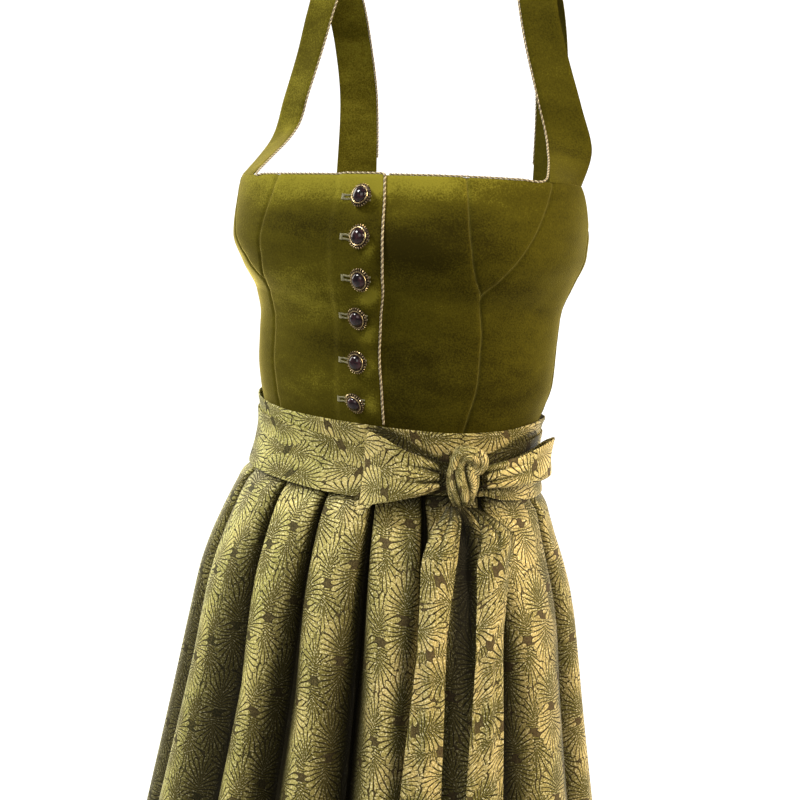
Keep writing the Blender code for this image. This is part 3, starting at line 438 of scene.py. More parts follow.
def makeLeafGroup():
    # woven palm leaves: slim leaflets leave a short stem, one upright and the next hanging
    s = leafSettings
    stem, longest, density = s["stem"], s["longest"], s["density"]
    tree, start, end = makeGroup(
        "palmLeaves",
        [("Vector", "Vector", None), ("Width", "Float", 0.037), ("Height", "Float", 0.076)],
        [("Leaf", "Float"), ("Tone", "Float"), ("Cover", "Float")])
    add, take, times, over, timesAdd = sumsIn(tree)
    do = partial(maths, tree)
    wobble = noise(tree, start["Vector"], s["wobbleScale"], 1.0, flat=True).node
    shift = nodeOf(tree, "ShaderNodeVectorMath", wobble.outputs["Color"],
                   (s["wobble"], s["wobble"], 0.0), start["Vector"], operation="MULTIPLY_ADD")
    u, v, _ = parts(tree, shift.outputs[0])
    width, height = start["Width"], start["Height"]

    def fan(alongCloth, downCloth, upward, lean, seed):
        across = add(over(u, width), alongCloth)
        column = do("FLOOR", across)
        odd = do("PINGPONG", column, 1.0)
        row = add(add(over(v, height), downCloth), times(odd, 0.5))
        # a number between 0 and 1 that differs from leaf to leaf
        key = timesAdd(column, 12.9898, timesAdd(do("FLOOR", row), 78.233, seed))
        random = do("FRACT", times(do("SINE", key), 43758.5))
        x = times(take(do("FRACT", across), 0.5), width)
        y = times(times(take(do("FRACT", row), 0.5), height), upward)
        side = timesAdd(odd, 2.0, -1.0)
        turn = timesAdd(side, lean, timesAdd(random, 2 * s["sway"], -s["sway"]))
        cosine, sine = do("COSINE", turn), do("SINE", turn)
        sideways = do("ABSOLUTE", take(times(x, cosine), times(y, sine)))
        up = add(times(x, sine), times(y, cosine))
        up = timesAdd(times(sideways, sideways), s["droop"], up)
        # where on the stem the leaflet through this point begins
        wide = add(sideways, 2 * stem)
        root = do("SQRT", timesAdd(up, up, times(sideways, wide)))
        slope = over(take(root, up), wide)
        part = times(slope, density)
        nearest = do("ROUND", part)
        offset = do("ABSOLUTE", take(part, nearest))
        rise = timesAdd(slope, stem, up)
        radius = do("SQRT", timesAdd(rise, rise, times(sideways, sideways)))
        shorter = -s["shorter"] * longest / density ** 2
        limit = timesAdd(times(nearest, nearest), shorter, longest)
        tip = timesAdd(times(offset, offset), -s["tipRound"], 1.0)
        along = over(radius, times(limit, tip))
        half = spread(tree, along, 0.1, 0.95, s["halfNear"], s["halfFar"])
        inLength = spread(tree, along, 1.02, 0.98)
        inWidth = spread(tree, take(half, offset), -0.06, 0.06)
        inFan = do("LESS_THAN", nearest, s["outermost"] + 0.1)
        mask = times(times(inLength, inWidth), inFan)
        cover = times(spread(tree, along, 1.07, 1.04), inFan)
        shade = timesAdd(random, 0.3, times(spread(tree, along, 0.05, 0.8), 0.7))
        return mask, cover, shade

    leaf, tone, covered = 0.0, 0.5, 0.0
    for mask, cover, shade in reversed([fan(*row) for row in s["fans"]]):
        bare = take(1.0, cover)
        leaf = timesAdd(bare, leaf, times(cover, mask))
        tone = timesAdd(bare, tone, times(cover, shade))
        covered = do("MAXIMUM", covered, cover)
    plugNamed(tree, end, Leaf=leaf, Tone=tone, Cover=covered)
    return tree


def makeWeaveGroup():
    # the single threads of the brocade and its broad patches of tone
    tree, start, end = makeGroup(
        "weave",
        [("Vector", "Vector", None), ("Threads", "Float", 640.0), ("Patches", "Float", 24.0)],
        [("Threads", "Float"), ("Patches", "Float")])
    threads = noise(tree, start["Vector"], start["Threads"], 2.0, 0.8, flat=True)
    patches = noise(tree, start["Vector"], start["Patches"], 2.0, 0.55, flat=True)
    plugNamed(tree, end, Threads=threads, Patches=patches)
    return tree


def makeGrainGroup():
    # fine grain of thread, metal or stone: two tones, and a height for the bump
    numbers = ("Scale", "Detail", "Roughness", "Distortion", "Low", "High")
    tree, start, end = makeGroup(
        "fineGrain",
        [("Vector", "Vector", None)] + [(label, "Float", 1.0) for label in numbers]
        + [("Dark", "Color", (0.1, 0.1, 0.1, 1.0)), ("Light", "Color", (0.5, 0.5, 0.5, 1.0))],
        [("Colour", "Color"), ("Height", "Float")])
    scale, detail, roughness, distortion, low, high = [start[label] for label in numbers]
    grain = noise(tree, start["Vector"], scale, detail, roughness, distortion)
    colour = mixColours(tree, spread(tree, grain, low, high), start["Dark"], start["Light"])
    plugNamed(tree, end, Colour=colour, Height=grain)
    return tree


velvetSettings = {
    "dark": (0.022, 0.017, 0.001), "middle": (0.08, 0.066, 0.0045), "light": (0.23, 0.2, 0.02),
    "thread": (0.24, 0.2, 0.045), "sheen": (1.0, 0.82, 0.22), "sheenWeight": 0.95,
    "sheenRoughness": 0.27, "roughness": 0.95, "specular": 0.05, "bump": (0.35, 0.0006),
    # painted light at the chest, painted shade at the wearer's left, share of the sewing thread's
    # tone with its painted highlight
    "worn": 0.13, "shaded": -0.16, "sewn": 0.36}
jacquardSettings = {
    "leafDark": (0.16, 0.135, 0.03), "leafGreen": (0.62, 0.59, 0.17),
    "leafGolden": (0.7, 0.54, 0.21), "paintedGlint": (0.95, 0.86, 0.52),
    "groundGreen": (0.034, 0.035, 0.008), "groundBrown": (0.078, 0.048, 0.021),
    "groundLight": (0.135, 0.105, 0.038), "line": (0.018, 0.013, 0.003),
    # deep: colour of the painted shade in folds and hollows
    "deep": (0.006, 0.0045, 0.0015), "leafWidth": 0.037, "leafHeight": 0.076,
    "threadScale": 640.0, "patchScale": 24.0, "specular": 0.14, "bump": (0.8, 0.00035)}


def makeVelvet(name):
    s = velvetSettings
    material, tree, shader = newMaterial(
        name, Roughness=s["roughness"], Sheen_Weight=s["sheenWeight"], Sheen_Tint=s["sheen"],
        Sheen_Roughness=s["sheenRoughness"], Specular_IOR_Level=s["specular"])
    add, _, times, _, _ = sumsIn(tree)
    place = objectPlace(tree)
    pile = useGroup(tree, pileGroup, Vector=place)
    x, _, z = parts(tree, place)
    worn = spread(tree, z, -0.245, -0.15, 0.0, s["worn"])
    shaded = spread(tree, x, 0.012, 0.03, 0.0, s["shaded"])
    # the pile's own tone, plus painted light at the chest, the painted highlights and shade of
    # the sheen, and painted shade at the wearer's left
    tone = add(add(pile["Tone"], worn), add(painted(tree, "nap"), shaded))
    colour = mixColours(tree, spread(tree, tone, 0.08, 0.62), s["dark"], s["middle"])
    colour = mixColours(tree, spread(tree, tone, 0.52, 0.92), colour, s["light"])
    # pale thread with a painted highlight along the seams
    sewn = times(painted(tree, "seam"), s["sewn"])
    plugNamed(tree, shader, Base_Color=mixColours(tree, sewn, colour, s["thread"]))
    bumpInto(tree, shader, pile["Height"], *s["bump"])
    return material


def makeJacquard(name, turn=0.0, shift=(0.0, 0.0, 0.0)):
    s = jacquardSettings
    material, tree, shader = newMaterial(name, Specular_IOR_Level=s["specular"])
    _, take, times, _, timesAdd = sumsIn(tree)
    mapped = nodeOf(tree, "ShaderNodeUVMap", uv_map="clothMap").outputs[0]
    mapping = nodeOf(tree, "ShaderNodeMapping")
    plugNamed(tree, mapping, Vector=mapped, Location=shift)
    mapping.inputs["Rotation"].default_value = (0.0, 0.0, math.radians(turn))
    flat = mapping.outputs[0]
    leaves = useGroup(tree, leafGroup, Vector=flat, Width=s["leafWidth"], Height=s["leafHeight"])
    leaf, cover = leaves["Leaf"], leaves["Cover"]
    weave = useGroup(tree, weaveGroup, Vector=flat, Threads=s["threadScale"],
                     Patches=s["patchScale"])
    threads, patches = weave["Threads"], weave["Patches"]
    # painted warm light towards the wearer's left, the side of the warm lamp, with broad patches
    # of tone: the leaves turn golden and the ground brown
    side = spread(tree, parts(tree, objectPlace(tree))[0], -0.14, 0.16)
    patchesAndPaintedWarmLight = timesAdd(take(patches, 0.5), 1.4, side, clamp=True)
    # how brightly the threads of a leaf catch the light, as a painted highlight, and the painted
    # shade of the folds
    lit = timesAdd(leaves["Tone"], 0.7, 0.0)
    lit = timesAdd(take(threads, 0.5), 2.6, lit)
    lit = timesAdd(take(patches, 0.5), 1.2, lit)
    hollow = painted(tree, "hollow")
    lit = timesAdd(hollow, -1.0, lit, clamp=True)
    light = mixColours(tree, patchesAndPaintedWarmLight, s["leafGreen"], s["leafGolden"])
    leafColour = mixColours(tree, lit, s["leafDark"], light)
    # painted glints, near white, where single threads catch the light
    paintedGlints = spread(tree, threads, 0.57, 0.7, 0.0, 0.9)
    leafColour = mixColours(tree, paintedGlints, leafColour, s["paintedGlint"])
    weft = spread(tree, threads, 0.42, 0.68)
    ground = mixColours(tree, patchesAndPaintedWarmLight, s["groundGreen"], s["groundBrown"])
    ground = mixColours(tree, weft, ground, s["groundLight"])
    line = mixColours(tree, spread(tree, threads, 0.56, 0.72), s["line"], s["groundLight"])
    ground = mixColours(tree, cover, ground, line)
    colour = mixColours(tree, leaf, ground, leafColour)
    # painted shade of folds, valleys, gaps and the bow's shadows darkens towards the deep colour
    colour = mixColours(tree, times(hollow, 0.97, clamp=True), colour, s["deep"])
    plugNamed(tree, shader, Base_Color=colour, Roughness=timesAdd(leaf, -0.2, 0.68),
              Metallic=times(leaf, 0.12))
    bumpInto(tree, shader, timesAdd(leaf, 0.8, times(threads, 0.45)), *s["bump"])
    return material


finishSettings = {
    # two tones, grain of the noise, bump and what is set on the shader
    "goldCord": {
        "dark": (0.42, 0.33, 0.18), "light": (0.82, 0.71, 0.46),
        "Roughness": 0.5, "Metallic": 0.1, "Sheen_Weight": 0.3, "Sheen_Roughness": 0.4},
    "brownCord": {
        "dark": (0.1, 0.07, 0.036), "light": (0.26, 0.19, 0.105),
        "Roughness": 0.6, "Sheen_Weight": 0.3, "Sheen_Roughness": 0.4},
    "buttonholeThread": {
        "dark": (0.13, 0.12, 0.055), "light": (0.38, 0.35, 0.2), "Roughness": 0.6},
    "darkPatina": {
        "dark": (0.012, 0.008, 0.005), "light": (0.06, 0.04, 0.022),
        "Roughness": 0.45, "Metallic": 0.7},
    "oldGold": {
        "dark": (0.16, 0.105, 0.05), "light": (0.62, 0.49, 0.27), "bump": (0.25, 0.0003),
        "grain": {"Scale": 900.0, "Roughness": 0.6, "Low": 0.38, "High": 0.62},
        "Roughness": 0.36, "Metallic": 1.0},
    "garnetStone": {
        "dark": (0.006, 0.003, 0.005), "light": (0.05, 0.016, 0.02), "bump": (0.05, 0.0002),
        "grain": {"Scale": 260.0, "Detail": 3.0, "Roughness": 0.6, "Distortion": 0.6,
                  "High": 0.75},
        "Roughness": 0.1, "Specular_IOR_Level": 0.3, "Coat_Weight": 0.25,
        "Coat_Roughness": 0.03}}
fibreGrain = {"Scale": 1800.0, "Detail": 2.0, "Roughness": 0.7, "Distortion": 0.0,
              "Low": 0.35, "High": 0.65}


def makeGrained(name, dark, light, grain={}, bump=(0.5, 0.0003), **values):
    material, tree, shader = newMaterial(name, **values)
    made = useGroup(tree, grainGroup, Vector=objectPlace(tree), Dark=dark, Light=light,
                    **{**fibreGrain, **grain})
    plugNamed(tree, shader, Base_Color=made["Colour"])
    bumpInto(tree, shader, made["Height"], *bump)
    return material


skirtClothSettings = {
    "dark": (0.044, 0.04, 0.007), "light": (0.085, 0.076, 0.015), "sheen": (0.7, 0.62, 0.2),
    "weave": 9000.0, "slub": (300.0, 12.0, 1.0), "bump": (0.35, 0.0003)}


def makeSkirtCloth():
    s = skirtClothSettings
    material, tree, shader = newMaterial(
        "skirtCloth", Roughness=0.85, Sheen_Weight=0.1, Sheen_Roughness=0.45,
        Sheen_Tint=s["sheen"], Specular_IOR_Level=0.2)
    add, _, times, _, _ = sumsIn(tree)
    mapped = nodeOf(tree, "ShaderNodeUVMap", uv_map="clothMap").outputs[0]
    warp, weft = [maths(tree, "SINE", times(along, s["weave"]))
                  for along in list(parts(tree, mapped))[:2]]
    slub = noise(tree, scaledVector(tree, mapped, s["slub"]), 2.0, 2.0)
    tone = add(times(times(warp, weft), 0.25), slub)
    colour = mixColours(tree, spread(tree, tone, 0.2, 0.8), s["dark"], s["light"])
    plugNamed(tree, shader, Base_Color=colour)
    bumpInto(tree, shader, tone, *s["bump"])
    return material


pileGroup = makePileGroup()
leafGroup = makeLeafGroup()
weaveGroup = makeWeaveGroup()
grainGroup = makeGrainGroup()
velvet = makeVelvet("oliveVelvet")
jacquard = makeJacquard("leafJacquard")
bandJacquard = makeJacquard("bandJacquard", 90.0, (0.013, 0.021, 0.0))
bowJacquard = makeJacquard("bowJacquard", 76.0, (0.031, 0.012, 0.0))
skirtCloth = makeSkirtCloth()
goldCord, brownCord, buttonholeThread, darkPatina, oldGold, garnet = [
    makeGrained(name, **values) for name, values in finishSettings.items()]

print("camera, light and floor")

cameraSettings = {
    "turn": 22.8, "distance": 0.926, "height": -0.201, "aim": 0.14, "pitch": 9.59, "roll": 3.9,
    "lens": 48.0, "sensor": 36.0}


def makeCamera():
    s = cameraSettings
    turn, aim = math.radians(s["turn"]), math.radians(s["turn"] + s["aim"])
    pitch, roll = math.radians(s["pitch"]), math.radians(s["roll"])
    place = Vector((s["distance"] * math.sin(turn), -s["distance"] * math.cos(turn), s["height"]))
    level = math.cos(pitch)
    ahead = Vector((-math.sin(aim) * level, math.cos(aim) * level, -math.sin(pitch)))
    right = Vector((math.cos(aim), math.sin(aim), 0.0))
    up = right.cross(ahead)
    tilted = right * math.cos(roll) + up * math.sin(roll)
    upward = up * math.cos(roll) - right * math.sin(roll)
    data = bpy.data.cameras.new("camera")
    data.lens, data.sensor_width = s["lens"], s["sensor"]
    data.clip_start, data.clip_end = 0.02, 50.0
    camera = bpy.data.objects.new("camera", data)
    camera.matrix_world = Matrix((
        (tilted.x, upward.x, -ahead.x, place.x), (tilted.y, upward.y, -ahead.y, place.y),
        (tilted.z, upward.z, -ahead.z, place.z), (0, 0, 0, 1)))
    bpy.context.collection.objects.link(camera)
    bpy.context.scene.camera = camera


lightSettings = {
    # strength of the pale surroundings as a light and where they are seen
    "aim": (0.0, 0.0, -0.35), "world": 0.22, "worldSeen": 0.9,
    # name, place, size, watts, colour
    "lamps": [
        ("keyLight", (-1.6, -1.6, 2.0), 0.9, 104.0, (1.0, 0.99, 0.94)),
        ("frontLight", (0.5, -2.5, 0.7), 1.4, 16.0, (1.0, 0.98, 0.92)),
        ("leftRim", (-1.8, 0.3, 0.3), 1.4, 32.0, (1.0, 0.97, 0.86)),
        ("rightRim", (2.0, -0.1, 0.5), 0.9, 56.0, (1.0, 0.86, 0.62))]}
stageSettings = {
    "floor": -1.42, "wall": 3.2, "front": -4.0, "half": 7.0, "rise": 5.0, "bend": 0.9,
    "bendSteps": 12, "tones": ((0.4, 0.4, 0.4), (0.42, 0.42, 0.42)), "glow": 0.92}


def makeLights():
    s = lightSettings
    for name, place, size, watts, colour in s["lamps"]:
        data = bpy.data.lights.new(name, "AREA")
        data.size, data.energy, data.color = size, watts, colour
        lamp = bpy.data.objects.new(name, data)
        lamp.location = place
        ahead = Vector(s["aim"]) - Vector(place)
        lamp.rotation_euler = ahead.to_track_quat("-Z", "Y").to_euler()
        bpy.context.collection.objects.link(lamp)
    world = bpy.data.worlds.new("studio")
    world.use_nodes = True
    tree = world.node_tree
    # dim as a light, pale where it is seen past the edge of the floor
    seen = nodeOf(tree, "ShaderNodeLightPath").outputs["Is Camera Ray"]
    strength = maths(tree, "MULTIPLY_ADD", seen, s["worldSeen"] - s["world"], s["world"])
    plug(tree, tree.nodes["Background"].inputs, ((1.0, 1.0, 1.0), strength))
    bpy.context.scene.world = world
    bpy.context.scene.view_settings.view_transform = "Standard"


def makeStage():
    s = stageSettings
    floor, wall, bend = s["floor"], s["wall"], s["bend"]
    profile = [(y, floor) for y in (s["front"], 0.2, 0.5, wall - bend)]
    for turn in np.linspace(0, math.pi / 2, s["bendSteps"] + 1)[1:]:
        profile.append((wall - bend + bend * math.sin(turn), floor + bend * (1 - math.cos(turn))))
    profile.append((wall, floor + s["rise"]))
    points = [(x, y, z) for y, z in profile for x in (-s["half"], s["half"])]
    faces = [(2 * k, 2 * k + 1, 2 * k + 3, 2 * k + 2) for k in range(len(profile) - 1)]
    material, tree, shader = newMaterial(
        "paleStage", Roughness=1.0, Specular_IOR_Level=0.0, Emission_Color=(1.0, 1.0, 1.0))
    place = objectPlace(tree)
    pale = mixColours(tree, noise(tree, place, 3.0, 2.0), *s["tones"])
    glow = spread(tree, parts(tree, place)[1], 0.1, 0.7, 0.0, s["glow"])
    plugNamed(tree, shader, Base_Color=pale, Emission_Strength=glow)
    linkMesh("stageFloor", points, faces, material, fixNormals=False)


makeCamera()
makeLights()
makeStage()

print("bodice")

creaseSettings = [
    # soft hollows and swells of the worn velvet: angle, z, half angle, half height, height out
    (-22.0, -0.236, 24.0, 0.01, -0.0011), (-18.0, -0.262, 20.0, 0.008, 0.0009),
    (-26.0, -0.284, 22.0, 0.01, -0.0009), (-14.0, -0.305, 16.0, 0.009, 0.0007),
    (-30.0, -0.335, 14.0, 0.012, 0.0006), (4.0, -0.203, 4.0, 0.006, 0.0006),
    (3.0, -0.234, 4.0, 0.007, -0.0006), (4.0, -0.266, 4.0, 0.006, 0.0007),
    (4.0, -0.298, 4.0, 0.007, 0.0005), (26.0, -0.238, 18.0, 0.01, -0.0012),
    (24.0, -0.266, 18.0, 0.009, 0.0008), (30.0, -0.29, 14.0, 0.01, -0.0008),
    (22.0, -0.33, 14.0, 0.012, 0.0006), (76.0, -0.25, 8.0, 0.018, -0.0009),
    (70.0, -0.3, 10.0, 0.012, 0.0007), (-72.0, -0.252, 8.0, 0.018, -0.0009),
    (-68.0, -0.3, 10.0, 0.012, 0.0007), (120.0, -0.27, 14.0, 0.014, -0.001),
    (-118.0, -0.268, 14.0, 0.014, -0.001), (132.0, -0.325, 12.0, 0.012, 0.0009),
    (-130.0, -0.322, 12.0, 0.012, 0.0009), (180.0, -0.3, 16.0, 0.014, -0.0009)]

napSettings = [
    # painted highlights and painted shade of the velvet's sheen: angle, z, half angle, half
    # height, change of tone
    (-16.0, -0.21, 26.0, 0.014, -0.28), (-22.0, -0.162, 32.0, 0.026, 0.34),
    (-20.0, -0.258, 24.0, 0.018, 0.18), (-14.0, -0.302, 16.0, 0.009, -0.14),
    (-24.0, -0.335, 18.0, 0.012, 0.08), (27.0, -0.16, 26.0, 0.026, 0.46),
    (24.0, -0.222, 15.0, 0.013, -0.24), (40.0, -0.2, 13.0, 0.013, -0.14),
    (30.0, -0.262, 14.0, 0.012, 0.12), (26.0, -0.33, 22.0, 0.03, -0.14),
    (80.0, -0.26, 16.0, 0.05, 0.08)]

placketPaintedSheen = {
    # painted highlights and painted shade where the placket is drawn to the buttons: z, half
    # height, change of tone
    "patches": [
        (-0.147, 0.007, 0.34), (-0.176, 0.009, 0.34), (-0.203, 0.005, -0.16),
        (-0.224, 0.008, 0.48), (-0.245, 0.005, -0.12), (-0.258, 0.007, 0.56),
        (-0.276, 0.005, -0.16), (-0.291, 0.008, 0.42), (-0.318, 0.01, 0.34),
        (-0.346, 0.01, 0.28)],
    "fromEdge": 0.0085, "wide": 0.0075, "slant": 0.35}

sewingSettings = {
    # share by which the columns crowd to the seams, and the puckers along them
    "crowd": 0.055, "stitches": 620.0, "pucker": 0.00016, "puckerWidth": 0.006,
    "threadWidth": 0.0007, "edgeDip": 0.0004}


def patchSum(table, angle, z):
    # soft round patches on the body, each with its own place, size and amount
    total = np.zeros(np.broadcast(angle, z).shape)
    for at, height, wide, tall, amount in table:
        across, up = wrapped(angle - at) / wide, (z - height) / tall
        total = total + amount * np.exp(-across ** 2 - up ** 2)
    return total


def napTone(angle, z, fromEdge=None):
    total = patchSum(napSettings, angle, z)
    if fromEdge is not None:
        s = placketPaintedSheen
        near = np.exp(-((fromEdge - s["fromEdge"]) / s["wide"]) ** 2)
        slanted = z + s["slant"] * (fromEdge - s["fromEdge"])
        for height, tall, change in s["patches"]:
            total = total + change * near * np.exp(-((slanted - height) / tall) ** 2)
    return total


def placketLifts(angle, z):
    s = bodySettings
    x = bodyPoints(angle, z)[..., 0]
    return s["placketLift"] * smoothStep(x, s["underlapEdge"] - 0.009, s["underlapEdge"] - 0.002)


def seamAngles(down, which, side):
    # angles of the princess seam (0) or the cup's seam (1) on one side
    return side * curveAt(seamCurve, down)[..., which] + bodySettings["turned"]


def velvetPanel(name, left, right, downs, columns, seams=(True, True), lift=False):
    s, c = bodySettings, sewingSettings
    share = np.linspace(0, 1, columns + 1)
    share = share - c["crowd"] * np.sin(2 * np.pi * share)
    angle = left[:, None] + (right - left)[:, None] * share
    z = rowHeights(angle, downs[:, None])
    flat = bodyPoints(angle, z)
    run = lengthsAlong(flat)
    fromLeft, fromRight = run, run[:, -1:] - run
    out = patchSum(creaseSettings, angle, z)
    seam = np.zeros(angle.shape)
    if lift:
        out = out + placketLifts(angle, z)
    for away, sewn, phase in ((fromLeft, seams[0], 0.0), (fromRight, seams[1], 1.7)):
        if sewn:
            out = out - s["seamDepth"] * np.exp(-(away / s["seamWidth"]) ** 2)
            pucker = np.sin(z * c["stitches"] + phase + 1.3 * np.sin(z * 97.0)) * c["pucker"]
            out = out + pucker * np.exp(-away / c["puckerWidth"])
            # pale thread with a painted highlight along a sewn edge
            seam = np.maximum(seam, np.exp(-(away / c["threadWidth"]) ** 2))
        else:
            out = out - c["edgeDip"] * np.exp(-(away / 0.0009) ** 2)
    top = lengthsDown(flat)
    out = out - c["edgeDip"] * np.exp(-(top / 0.001) ** 2)
    clothSheet("velvet_" + name, name, bodyPoints(angle, z, out + s["wall"] / 2), s["wall"],
               velvet, "velvet", "stretched", np.stack([run, -top], -1), seam=seam,
               nap=napTone(angle, z, fromRight if lift else None))


def trimmed(angles, downs, side):
    # edge angles moved off the seam line by half of the small gap
    z = rowHeights(angles, downs)
    here = bodyPoints(angles, z)
    radius = np.hypot(here[:, 0], here[:, 1])
    slant = np.hypot(1.0, np.gradient(np.radians(angles)) * radius / np.gradient(z))
    return angles + side * np.degrees(bodySettings["edgeGap"] / 2 * slant / radius)


def makeBodice():
    s = bodySettings
    joint = s["jointDown"]
    above, below = s["rows"]
    downs = np.concatenate([np.linspace(0, joint, above), np.linspace(joint, 1, below)[1:]])
    heights = rowHeights(8.0, downs)
    placket = edgeAngle(placketEdge(heights), heights)
    underlap = edgeAngle(s["underlapEdge"], rowHeights(-6.0, downs))
    velvetPanel("front_right", trimmed(seamAngles(downs, 0, -1), downs, 1), placket, downs, 76,
                (True, False), lift=True)
    velvetPanel("front_left", underlap, trimmed(seamAngles(downs, 0, 1), downs, -1), downs, 64,
                (False, True))
    upper = downs[downs < joint - 0.004]
    straight = {key: s[key] + 0 * downs for key in ("sideSeam", "backSeam")}
    for side, word in ((-1, "right"), (1, "left")):
        sideSeam, backSeam = [side * line + s["turned"] for line in straight.values()]
        for name, near, far, rows, columns in (
                ("cup_", seamAngles(upper, 0, side), seamAngles(upper, 1, side), upper, 34),
                ("side_front_", seamAngles(downs, 1, side), sideSeam, downs, 44),
                ("side_back_", sideSeam, backSeam, downs, 48)):
            ends = trimmed(near, rows, side), trimmed(far, rows, -side)
            velvetPanel(name + word, *ends[::side], rows, columns)
    near = trimmed(straight["backSeam"] + s["turned"], downs, 1)
    far = trimmed(360.0 - s["backSeam"] + s["turned"] + 0 * downs, downs, -1)
    velvetPanel("back_centre", near, far, downs, 48)


strapSettings = {
    # left strap, front to back: inner edge x, y, z and outer edge x, y, z
    "path": [
        (0.1143, -0.0118, -0.132, 0.1463, 0.0047, -0.137),
        (0.103, -0.011, -0.098, 0.135, 0.003, -0.103),
        (0.09, -0.012, -0.058, 0.1215, -0.001, -0.065),
        (0.0805, -0.011, -0.022, 0.1115, -0.005, -0.031), (0.075, 0.0, 0.0, 0.1075, 0.0, -0.011),
        (0.0755, 0.024, -0.012, 0.1075, 0.0215, -0.022),
        (0.0765, 0.048, -0.044, 0.108, 0.043, -0.052),
        (0.077, 0.072, -0.095, 0.1085, 0.06, -0.099)],
    "steps": 14, "columns": 20, "gap": 0.0001, "swell": 0.0004, "swellWidth": 0.0022}


def curveThrough(points, steps):
    points = np.asarray(points, float)
    result = []
    for i in range(len(points) - 1):
        before, start = points[max(i - 1, 0)], points[i]
        end, after = points[i + 1], points[min(i + 2, len(points) - 1)]
        for k in range(steps):
            t = k / steps
            ease = t * t * (3 - 2 * t)
            bend = (end - before) * (t - 2 * t * t + t ** 3) / 2
            unbend = (after - start) * (t ** 3 - t * t) / 2
            result.append(start * (1 - ease) + end * ease + bend + unbend)
    result.append(points[-1])
    return np.array(result)


def strapEnds(side, out=0.0):
    # where a strap is sewn to the top edge of the body, in front and behind
    s, body = strapSettings, bodySettings
    spans = body["strapLeft" if side > 0 else "strapRight"], body["strapBack"]
    angles = [side * np.linspace(*span, s["columns"] + 1) for span in spans]
    return [bodyPoints(angle, topHeights(angle) + s["gap"], out) for angle in angles]


def easeEnds(grid, ends, rows):
    # both ends of a strap are led onto the points where they are sewn
    for at, end in zip((0, -1), ends):
        gap = end - grid[at]
        for k in range(rows):
            grid[at - k if at else k] += gap * (1 - k / rows) ** 2


def strapGrid(side):
    # inner face of a strap: rows from front to back, columns from inner to outer edge
    s = strapSettings
    path = np.array(s["path"]).reshape(-1, 2, 3) * (side, 1.0, 1.0)
    ends = strapEnds(side)
    inner, outer = [curveThrough([ends[0][edge], *path[:, edge], ends[1][edge]], s["steps"])
                    for edge in (0, -1)]
    share = np.linspace(0, 1, s["columns"] + 1)[None, :, None]
    grid = inner[:, None] * (1 - share) + outer[:, None] * share
    easeEnds(grid, ends, s["steps"])
    return grid


def makeStraps():
    s, wall = strapSettings, bodySettings["wall"]
    for side, word in ((1, "left"), (-1, "right")):
        grid = strapGrid(side)
        normal = gridNormals(grid) * -side
        across = lengthsAlong(grid)
        edge = np.minimum(across, across[:, -1:] - across)
        swell = s["swell"] * (1 - np.exp(-(edge / s["swellWidth"]) ** 2))
        mid = grid + normal * (wall / 2 + swell)[..., None]
        easeEnds(mid, strapEnds(side, wall / 2), 5)
        clothSheet("velvet_strap_" + word, "strap_" + word, mid, wall, velvet, "velvet",
                   "stretched", np.stack([across, -lengthsDown(grid)], -1))


makeBodice()
makeStraps()

print("piping")

pipingSettings = {
    # radius and height above the edge, along the placket and at the neck; pitch of the twist
    "radius": 0.00105, "neckRadius": 0.00085, "above": 0.00115, "neckAbove": 0.0008,
    "bottom": -0.3632, "step": 0.009, "clear": 0.0002,
    "pitch": 0.0042, "sides": 6, "samples": 9, "strandShare": 0.56, "offsetShare": 0.5,
    # angles of the neckline, from the placket to the straps
    "neckRight": [-20.0, -27.0, -33.0, -39.5, -46.0],
    "neckLeft": [18.0, 23.0, 28.0, 33.5, 39.5, 46.0, 52.0, 58.0]}


def resample(points, step):
    run = lengthsAlong(points)
    count = max(2, int(run[-1] / step))
    at = np.linspace(0, run[-1], count + 1)
    return np.stack([np.interp(at, run, points[:, k]) for k in range(3)], -1), at


def frameAlong(path):
    ahead = np.gradient(path, axis=0)
    ahead /= np.linalg.norm(ahead, axis=1, keepdims=True)
    side = np.zeros_like(path)
    first = np.cross(ahead[0], (0.31, 0.22, 0.93))
    side[0] = first / np.linalg.norm(first)
    for k in range(1, len(path)):
        turned = side[k - 1] - ahead[k] * np.dot(side[k - 1], ahead[k])
        side[k] = turned / np.linalg.norm(turned)
    return ahead, side, np.cross(ahead, side)


def ringFaces(start, rings, sides):
    faces = []
    for base in range(start, start + (rings - 1) * sides, sides):
        for k in range(sides):
            n = (k + 1) % sides
            faces.append((base + k, base + n, base + sides + n, base + sides + k))
    return faces


def tubeMesh(path, radius, sides, start):
    # points and faces of a tube with closed ends; its radius may change along it
    ahead, side, up = frameAlong(path)
    radius = np.broadcast_to(np.asarray(radius, float), (len(path),))
    turn = (2 * np.pi * np.arange(sides) / sides)[None, :, None]
    ring = side[:, None] * np.cos(turn) + up[:, None] * np.sin(turn)
    points = path[:, None] + ring * radius[:, None, None]
    faces = ringFaces(start, len(path), sides)
    last = start + (len(path) - 1) * sides
    faces += [tuple(range(start, start + sides))[::-1], tuple(range(last, last + sides))]
    return points.reshape(-1, 3), faces


